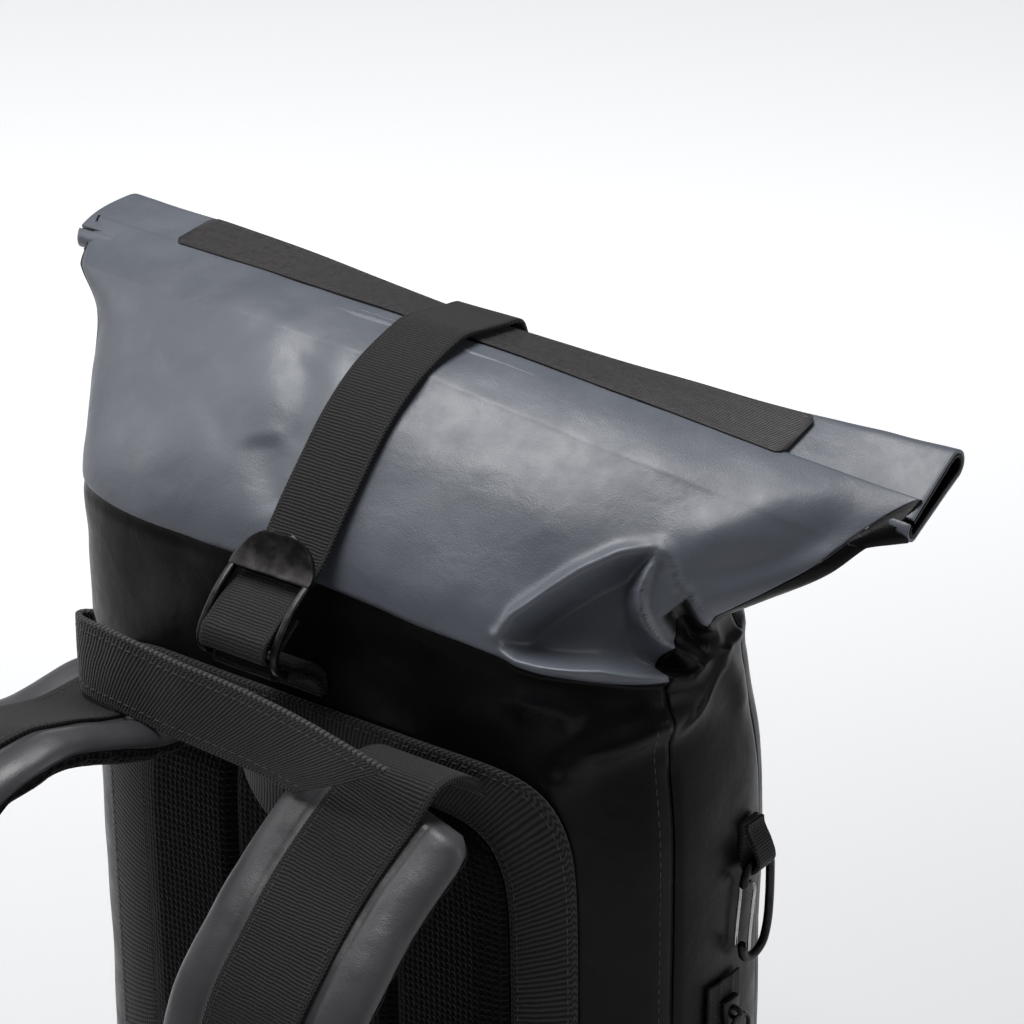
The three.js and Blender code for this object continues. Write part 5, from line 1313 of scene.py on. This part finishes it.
for label, table, hint in (("right", STRAP_RIGHT, X_AXIS), ("left", STRAP_LEFT, turn_left)):
    at, side, out, _ = stations(shoulder_path(table), 97, hint)
    lifted = at[4:-4] - out[4:-4] * WEBBING_LIFT
    root = np.array(ROOTS[label])
    at_all = np.concatenate([root, lifted])
    side_all = np.concatenate([np.tile(X_AXIS, (len(root), 1)), side[4:-4]])
    gaps = np.concatenate([[0], np.cumsum(np.linalg.norm(np.diff(at_all, axis=0), axis=1))])
    even, way, long = smooth_path(at_all, 300)
    steps = np.linspace(0, gaps[-1], 300)
    side_even = np.stack([np.interp(steps, gaps, side_all[:, k]) for k in range(3)], -1)
    out_even = np.cross(side_even, way)
    rows = (even, side_even, out_even, long)
    strap = webbing_piece(f"strap_webbing_{label}", rows, SHOULDER_WEBBING, 300, webbing_40, ripple=0.2)
    join_bag(strap, f"strap_webbing_{label}")
    for edge, offset in (("inner", -0.5), ("outer", 0.5)):
        line = even + side_even * offset * (SHOULDER_WEBBING - 6) - out_even * (WEBBING / 2 + 0.05)
        sew(f"strap_stitches_{label}_{edge}", line[20:-10], -out_even[20:-10], 2.4, 1.2, 0.45)

# Below each shoulder pad a short loop holds the adjuster. The narrower webbing leaves it and is sewn to
# a wing of black cloth that comes out of the side seam.
ADJUSTER_BAR = 4
ADJUSTER_SLOT = 5
ADJUSTER_METAL = 2.4
ADJUSTER_HEIGHT = 3 * ADJUSTER_BAR + 2 * ADJUSTER_SLOT
LOWER_WEBBING = 25
WING_THICKNESS = 2
WING_WIDTH = 36
WING_LENGTH = 40


def unit(vector):
    return vector / np.linalg.norm(vector)


for label, table, side_sign in (("right", STRAP_RIGHT, 1), ("left", STRAP_LEFT, -1)):
    path = np.array(shoulder_path(table))
    before, end = path[-2], path[-1]
    root = off_wall("back_y", side_sign * BODY_WIDTH * 0.482, 34.0, WING_THICKNESS + GAP)
    tip = np.array((side_sign * BODY_WIDTH * 0.43, root[1] - WING_LENGTH * 0.93, 42.0))
    down = unit(unit(end - before) + unit(tip - end))
    sideways = unit(X_AXIS - down * (X_AXIS @ down))
    out_of = unit(np.cross(down, sideways))
    middle = end + down * ADJUSTER_HEIGHT * 0.8 + out_of * WEBBING_LIFT
    along_wing = unit(tip - root)
    wing_face = unit(np.array((along_wing[1], -along_wing[0], 0)) * side_sign)

    def lay_wing(u, w, root=root, tip=tip, wing_face=wing_face):
        half = np.interp(w, (0, 0.5, 1), (20, 17, 14))
        points = root + (tip - root) * w[:, None] + Z_AXIS * ((u - 0.5) * 2 * half)[:, None]
        return points + wing_face * (unrest(points, 18.0, 9.0) * 0.6)[:, None]

    wing = spread_sheet(f"strap_wing_{label}", 24, 24, lay_wing, WING_WIDTH, WING_LENGTH, black_cloth)
    give_wall(wing, WING_THICKNESS, 0.0, 0.5)
    join_bag(wing, f"strap_wing_{label}")

    slot_at = ADJUSTER_HEIGHT / 2 - ADJUSTER_BAR - ADJUSTER_SLOT / 2
    clear = ADJUSTER_METAL / 2 + WEBBING_SEAT + 0.8
    lap = WING_THICKNESS / 2 + WEBBING_SEAT
    near_metal = [(-14, -clear), (-2.4, -clear), (0, 0), (2.4, clear), (20, clear * 0.5)]
    lower_path = [middle + down * (slot_at + low) + out_of * up for low, up in near_metal]
    lower_path += [tip - along_wing * s + wing_face * lap for s in (-16, 0, 16)]

    def turn_lower(u, sideways=sideways, side_sign=side_sign):
        t = float(smooth((u - 0.3) / 0.45))
        return sideways * (1 - t) + Z_AXIS * side_sign * t

    toward = unit(end - before)
    bar_at = slot_at + ADJUSTER_SLOT / 2 + ADJUSTER_BAR
    by_slot = slot_at + 2.4
    through = ((bar_at + 2, clear), (by_slot, clear), (slot_at, 0), (by_slot, -clear), (bar_at + 2, -clear))
    loop_path = [end - toward * 13 + out_of * WEBBING_LIFT, end - toward * 4 + out_of * WEBBING_LIFT]
    loop_path += [middle - down * low + out_of * up for low, up in through]
    loop_path.append(end - toward * 6 + out_of * 1.5)
    loop_rows = stations(loop_path, 100, sideways)
    loop = webbing_piece(f"strap_end_loop_{label}", loop_rows, SHOULDER_WEBBING - 2, 100, webbing_40)
    join_bag(loop)

    lower_rows = stations(lower_path, 120, turn_lower)
    lower = webbing_piece(f"lower_webbing_{label}", lower_rows, LOWER_WEBBING, 120, webbing_25, ripple=0.2)
    join_bag(lower, f"lower_webbing_{label}")

# The clip on the right side: a bent rod frame with a sprung wire gate, on a folded webbing tab. The
# gate's two ends sit in the frame's end and it swings in on them.
CLIP_Y, CLIP_TOP, CLIP_HEIGHT, CLIP_WIDTH, CLIP_ROD = 12, 266, 41, 18, 3.2
GATE_WIRE, TAB_WIDTH, TAB_HEIGHT = 1.4, 11, 16
CLIP_X = BODY_WIDTH / 2 + 5
clip_bottom, gate_y, spine_y = CLIP_TOP - CLIP_HEIGHT, CLIP_Y - CLIP_WIDTH / 2, CLIP_Y + CLIP_WIDTH / 2
hinge_z, nose_z = clip_bottom + 7, CLIP_TOP - 9
clip_path = [(CLIP_X, y, z) for y, z in (
    (gate_y, nose_z), (gate_y + 0.6, CLIP_TOP - 4.5), (gate_y + 4, CLIP_TOP - 0.6), (spine_y - 4, CLIP_TOP),
    (spine_y - 0.6, CLIP_TOP - 3.6), (spine_y, CLIP_TOP - 9), (spine_y - 1, clip_bottom + 10),
    (spine_y - 4.4, clip_bottom + 2.4), (gate_y + 6, clip_bottom), (gate_y + 1.4, clip_bottom + 2.2),
    (gate_y, hinge_z - 1), (gate_y, hinge_z + 2.6),
)]
clip_metal = metal_finish("clip_metal", (0.02, 0.019, 0.02), (0.045, 0.042, 0.044), 0.32)
clip = rod_piece("carabiner_frame", clip_path, X_AXIS, CLIP_ROD / 2, CLIP_ROD / 2, clip_metal, 160, 24, 2.6)
join_bag(clip, "carabiner_frame")
gate_side = CLIP_ROD / 2 + 2 * GAP + GATE_WIRE / 2
gate_top = nose_z + 2.4
gate_inner = gate_y + CLIP_ROD / 2 + GAP + GATE_WIRE / 2
half_gate = [
    (GATE_WIRE * 0.2, gate_y, hinge_z), (CLIP_ROD / 2, gate_y, hinge_z), (gate_side - 0.3, gate_y, hinge_z),
    (gate_side, gate_y, hinge_z + 0.5), (gate_side, gate_y + 0.2, hinge_z + 6),
    (gate_side, gate_inner - 0.6, gate_top - 7), (gate_side, gate_inner, gate_top - 2),
    (gate_side * 0.6, gate_inner + 0.1, gate_top),
]
gate_path = [(CLIP_X - x, y, z) for x, y, z in half_gate]
gate_path += [(CLIP_X + x, y, z) for x, y, z in reversed(half_gate)]
steel = metal_finish("bright_steel", (0.42, 0.41, 0.4), (0.6, 0.59, 0.57), 0.2)
gate = rod_piece("wire_gate", gate_path, Y_AXIS, GATE_WIRE / 2, GATE_WIRE / 2, steel, 220, 12)
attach(gate, "gate")
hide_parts("wire_gate")

tab_x = off_side(CLIP_Y, CLIP_TOP + 8)[0] + WEBBING_SEAT
tab_drop = CLIP_ROD / 2 + WEBBING_SEAT + 1
tab_path = [(x, CLIP_Y, z) for x, z in (
    (tab_x, CLIP_TOP + TAB_HEIGHT), (tab_x + 0.1, CLIP_TOP + TAB_HEIGHT * 0.5), (tab_x + 0.2, CLIP_TOP + 1),
    (CLIP_X - tab_drop * 0.75, CLIP_TOP - tab_drop * 0.85), (CLIP_X, CLIP_TOP - tab_drop - 0.4),
    (CLIP_X + tab_drop, CLIP_TOP), (CLIP_X + tab_drop * 0.6, CLIP_TOP + 6),
    (tab_x + WEBBING + GAP + 1, CLIP_TOP + TAB_HEIGHT * 0.8),
    (tab_x + WEBBING + GAP + 0.5, CLIP_TOP + TAB_HEIGHT),
)]
webbing_11 = webbing_finish("webbing_11", TAB_WIDTH, 1.1)
tab = webbing_piece("side_tab", stations(tab_path, 90, Y_AXIS), TAB_WIDTH, 90, webbing_11)
join_bag(tab, "side_tab")

# The side zip: a woven tape sewn flat on the side, a row of moulded teeth down its middle, and a
# slider with a ring pull at its top.
ZIP_TOP, ZIP_BOTTOM, ZIP_WIDTH, ZIP_Y, ZIP_OUT = 220, 66, 20, -3, 2.2
TOOTH_PITCH = 1.9
TOOTH_SIZE = (0.0011, 0.0026, 0.0011)


def lay_zip(u, w):
    y = ZIP_Y + (u - 0.5) * ZIP_WIDTH
    fold = 0.5 * np.exp(-(((np.abs(u - 0.5) - 0.2) / 0.05) ** 2))
    return off_side(y, ZIP_BOTTOM + (ZIP_TOP - ZIP_BOTTOM) * w, ZIP_OUT - 0.2 + fold)


zip_cloth = webbing_finish("zip_cloth", ZIP_WIDTH, 0.8)
tape = spread_sheet("zip_tape", 20, 80, lay_zip, ZIP_WIDTH, ZIP_TOP - ZIP_BOTTOM, zip_cloth)
give_wall(tape, 1.2, -1.0, 0.2)
join_bag(tape, "zip_tape")
bm = bmesh.new()
for count, z in enumerate(np.arange(ZIP_BOTTOM + 2, ZIP_TOP - 8, TOOTH_PITCH)):
    at = off_side(ZIP_Y + (0.9 if count % 2 else -0.9), z, ZIP_OUT + 0.35)
    tooth = Matrix.Translation(Vector(at) * MM) @ Matrix.Diagonal((*TOOTH_SIZE, 1))
    bmesh.ops.create_cube(bm, size=1.0, matrix=tooth)
bmesh.ops.bevel(bm, geom=bm.edges[:], offset=0.0002, affect="EDGES", segments=1, profile=0.5, material=-1)
teeth = finish_piece("zip_teeth", bm, clip_metal)
join_bag(teeth)

SLIDER_HEIGHT, SLIDER_WIDTH, SLIDER_THICKNESS = 14, 9, 3.2
LUG_REACH, PULL_DIAMETER, PULL_ROD = 6, 14, 1.8
seat = off_side(ZIP_Y, ZIP_TOP - SLIDER_HEIGHT, 2.5)
bm = bmesh.new()
block = Matrix.Translation(Vector((seat[0] + SLIDER_THICKNESS / 2, ZIP_Y, seat[2])) * MM)
sized = Matrix.Diagonal((SLIDER_THICKNESS * MM, SLIDER_WIDTH * MM, SLIDER_HEIGHT * MM, 1))
bmesh.ops.create_cube(bm, size=1.0, matrix=block @ sized)
for vert in bm.verts:
    if vert.co.z < seat[2] * MM:
        vert.co.y = ZIP_Y * MM + (vert.co.y - ZIP_Y * MM) * 0.7
bmesh.ops.bevel(bm, geom=bm.edges[:], offset=0.0009, affect="EDGES", segments=3, profile=0.5, material=-1)
lug_x, lug_z = seat[0] + SLIDER_THICKNESS - 0.6, seat[2] + 1
for face in bm.faces:
    face.smooth = True
slider = finish_piece("zip_slider", bm, clip_metal)
join_bag(slider, "zip_slider")
lug_turns = np.radians(np.linspace(-80, 80, 9))
lug_path = [
    (lug_x + LUG_REACH * 0.72 * math.cos(turn) - 0.4, ZIP_Y, lug_z + LUG_REACH * 0.42 * math.sin(turn))
    for turn in lug_turns
]
lug = rod_piece("zip_lug", lug_path, Y_AXIS, 1.1, 0.8, clip_metal, 40, 14, 3.0)
join_bag(lug)
bm = bmesh.new()
radius = (PULL_DIAMETER - PULL_ROD) / 2
bmesh.ops.create_circle(bm, segments=14, radius=PULL_ROD / 2 * MM)
bmesh.ops.rotate(bm, verts=bm.verts, matrix=Matrix.Rotation(math.pi / 2, 3, "X"))
bmesh.ops.translate(bm, verts=bm.verts, vec=(radius * MM, 0, 0))
bmesh.ops.spin(
    bm, geom=bm.verts[:] + bm.edges[:], cent=(0, 0, 0), axis=(0, 0, 1), angle=2 * math.pi, steps=48,
    use_merge=True,
)
bmesh.ops.remove_doubles(bm, verts=bm.verts, dist=0.00001)
bmesh.ops.recalc_face_normals(bm, faces=bm.faces)
bmesh.ops.rotate(bm, verts=bm.verts, matrix=Matrix.Rotation(math.pi / 2, 3, "Y"))
bmesh.ops.translate(bm, verts=bm.verts, vec=Vector((lug_x + LUG_REACH / 2 + 0.6, ZIP_Y, lug_z - radius)) * MM)
for face in bm.faces:
    face.smooth = True
pull = finish_piece("zip_pull", bm, clip_metal)
join_bag(pull, "zip_pull")

# The thread that shows elsewhere: it runs down the seam between the back and the right side, round the
# pad's border, and along both edges of the strip on the roll.
seam_v = np.linspace(0.3, 6.3, 400)
beside_seam = np.full(400, BACK_SEAM - 0.17)
seam_line = body_cloth(seam_v, beside_seam)
seam_out = outward(on_body, seam_v, beside_seam)
sew("seam_stitches_right", seam_line + seam_out * 0.1, seam_out, 3.0, 1.2, 0.4)
around = np.linspace(0, 0.999, 900)
for label, share in (("outer", 0.12), ("inner", 0.88)):
    line = lay_border(around, np.full(900, share)) - Y_AXIS * 0.1
    sew(f"border_stitches_{label}", line, np.tile(-Y_AXIS, (900, 1)), 3.0, 1.4, 0.45)
strip_u = np.linspace(0.006, 0.994, 300)
for label, share in (("back", 0.08), ("front", 0.92)):
    line = lay_strip(strip_u, np.full(300, share))
    upward = np.tile(Z_AXIS, (300, 1))
    sew(f"strip_stitches_{label}", line + Z_AXIS * 0.05, upward, 2.6, 1.3, 0.35)
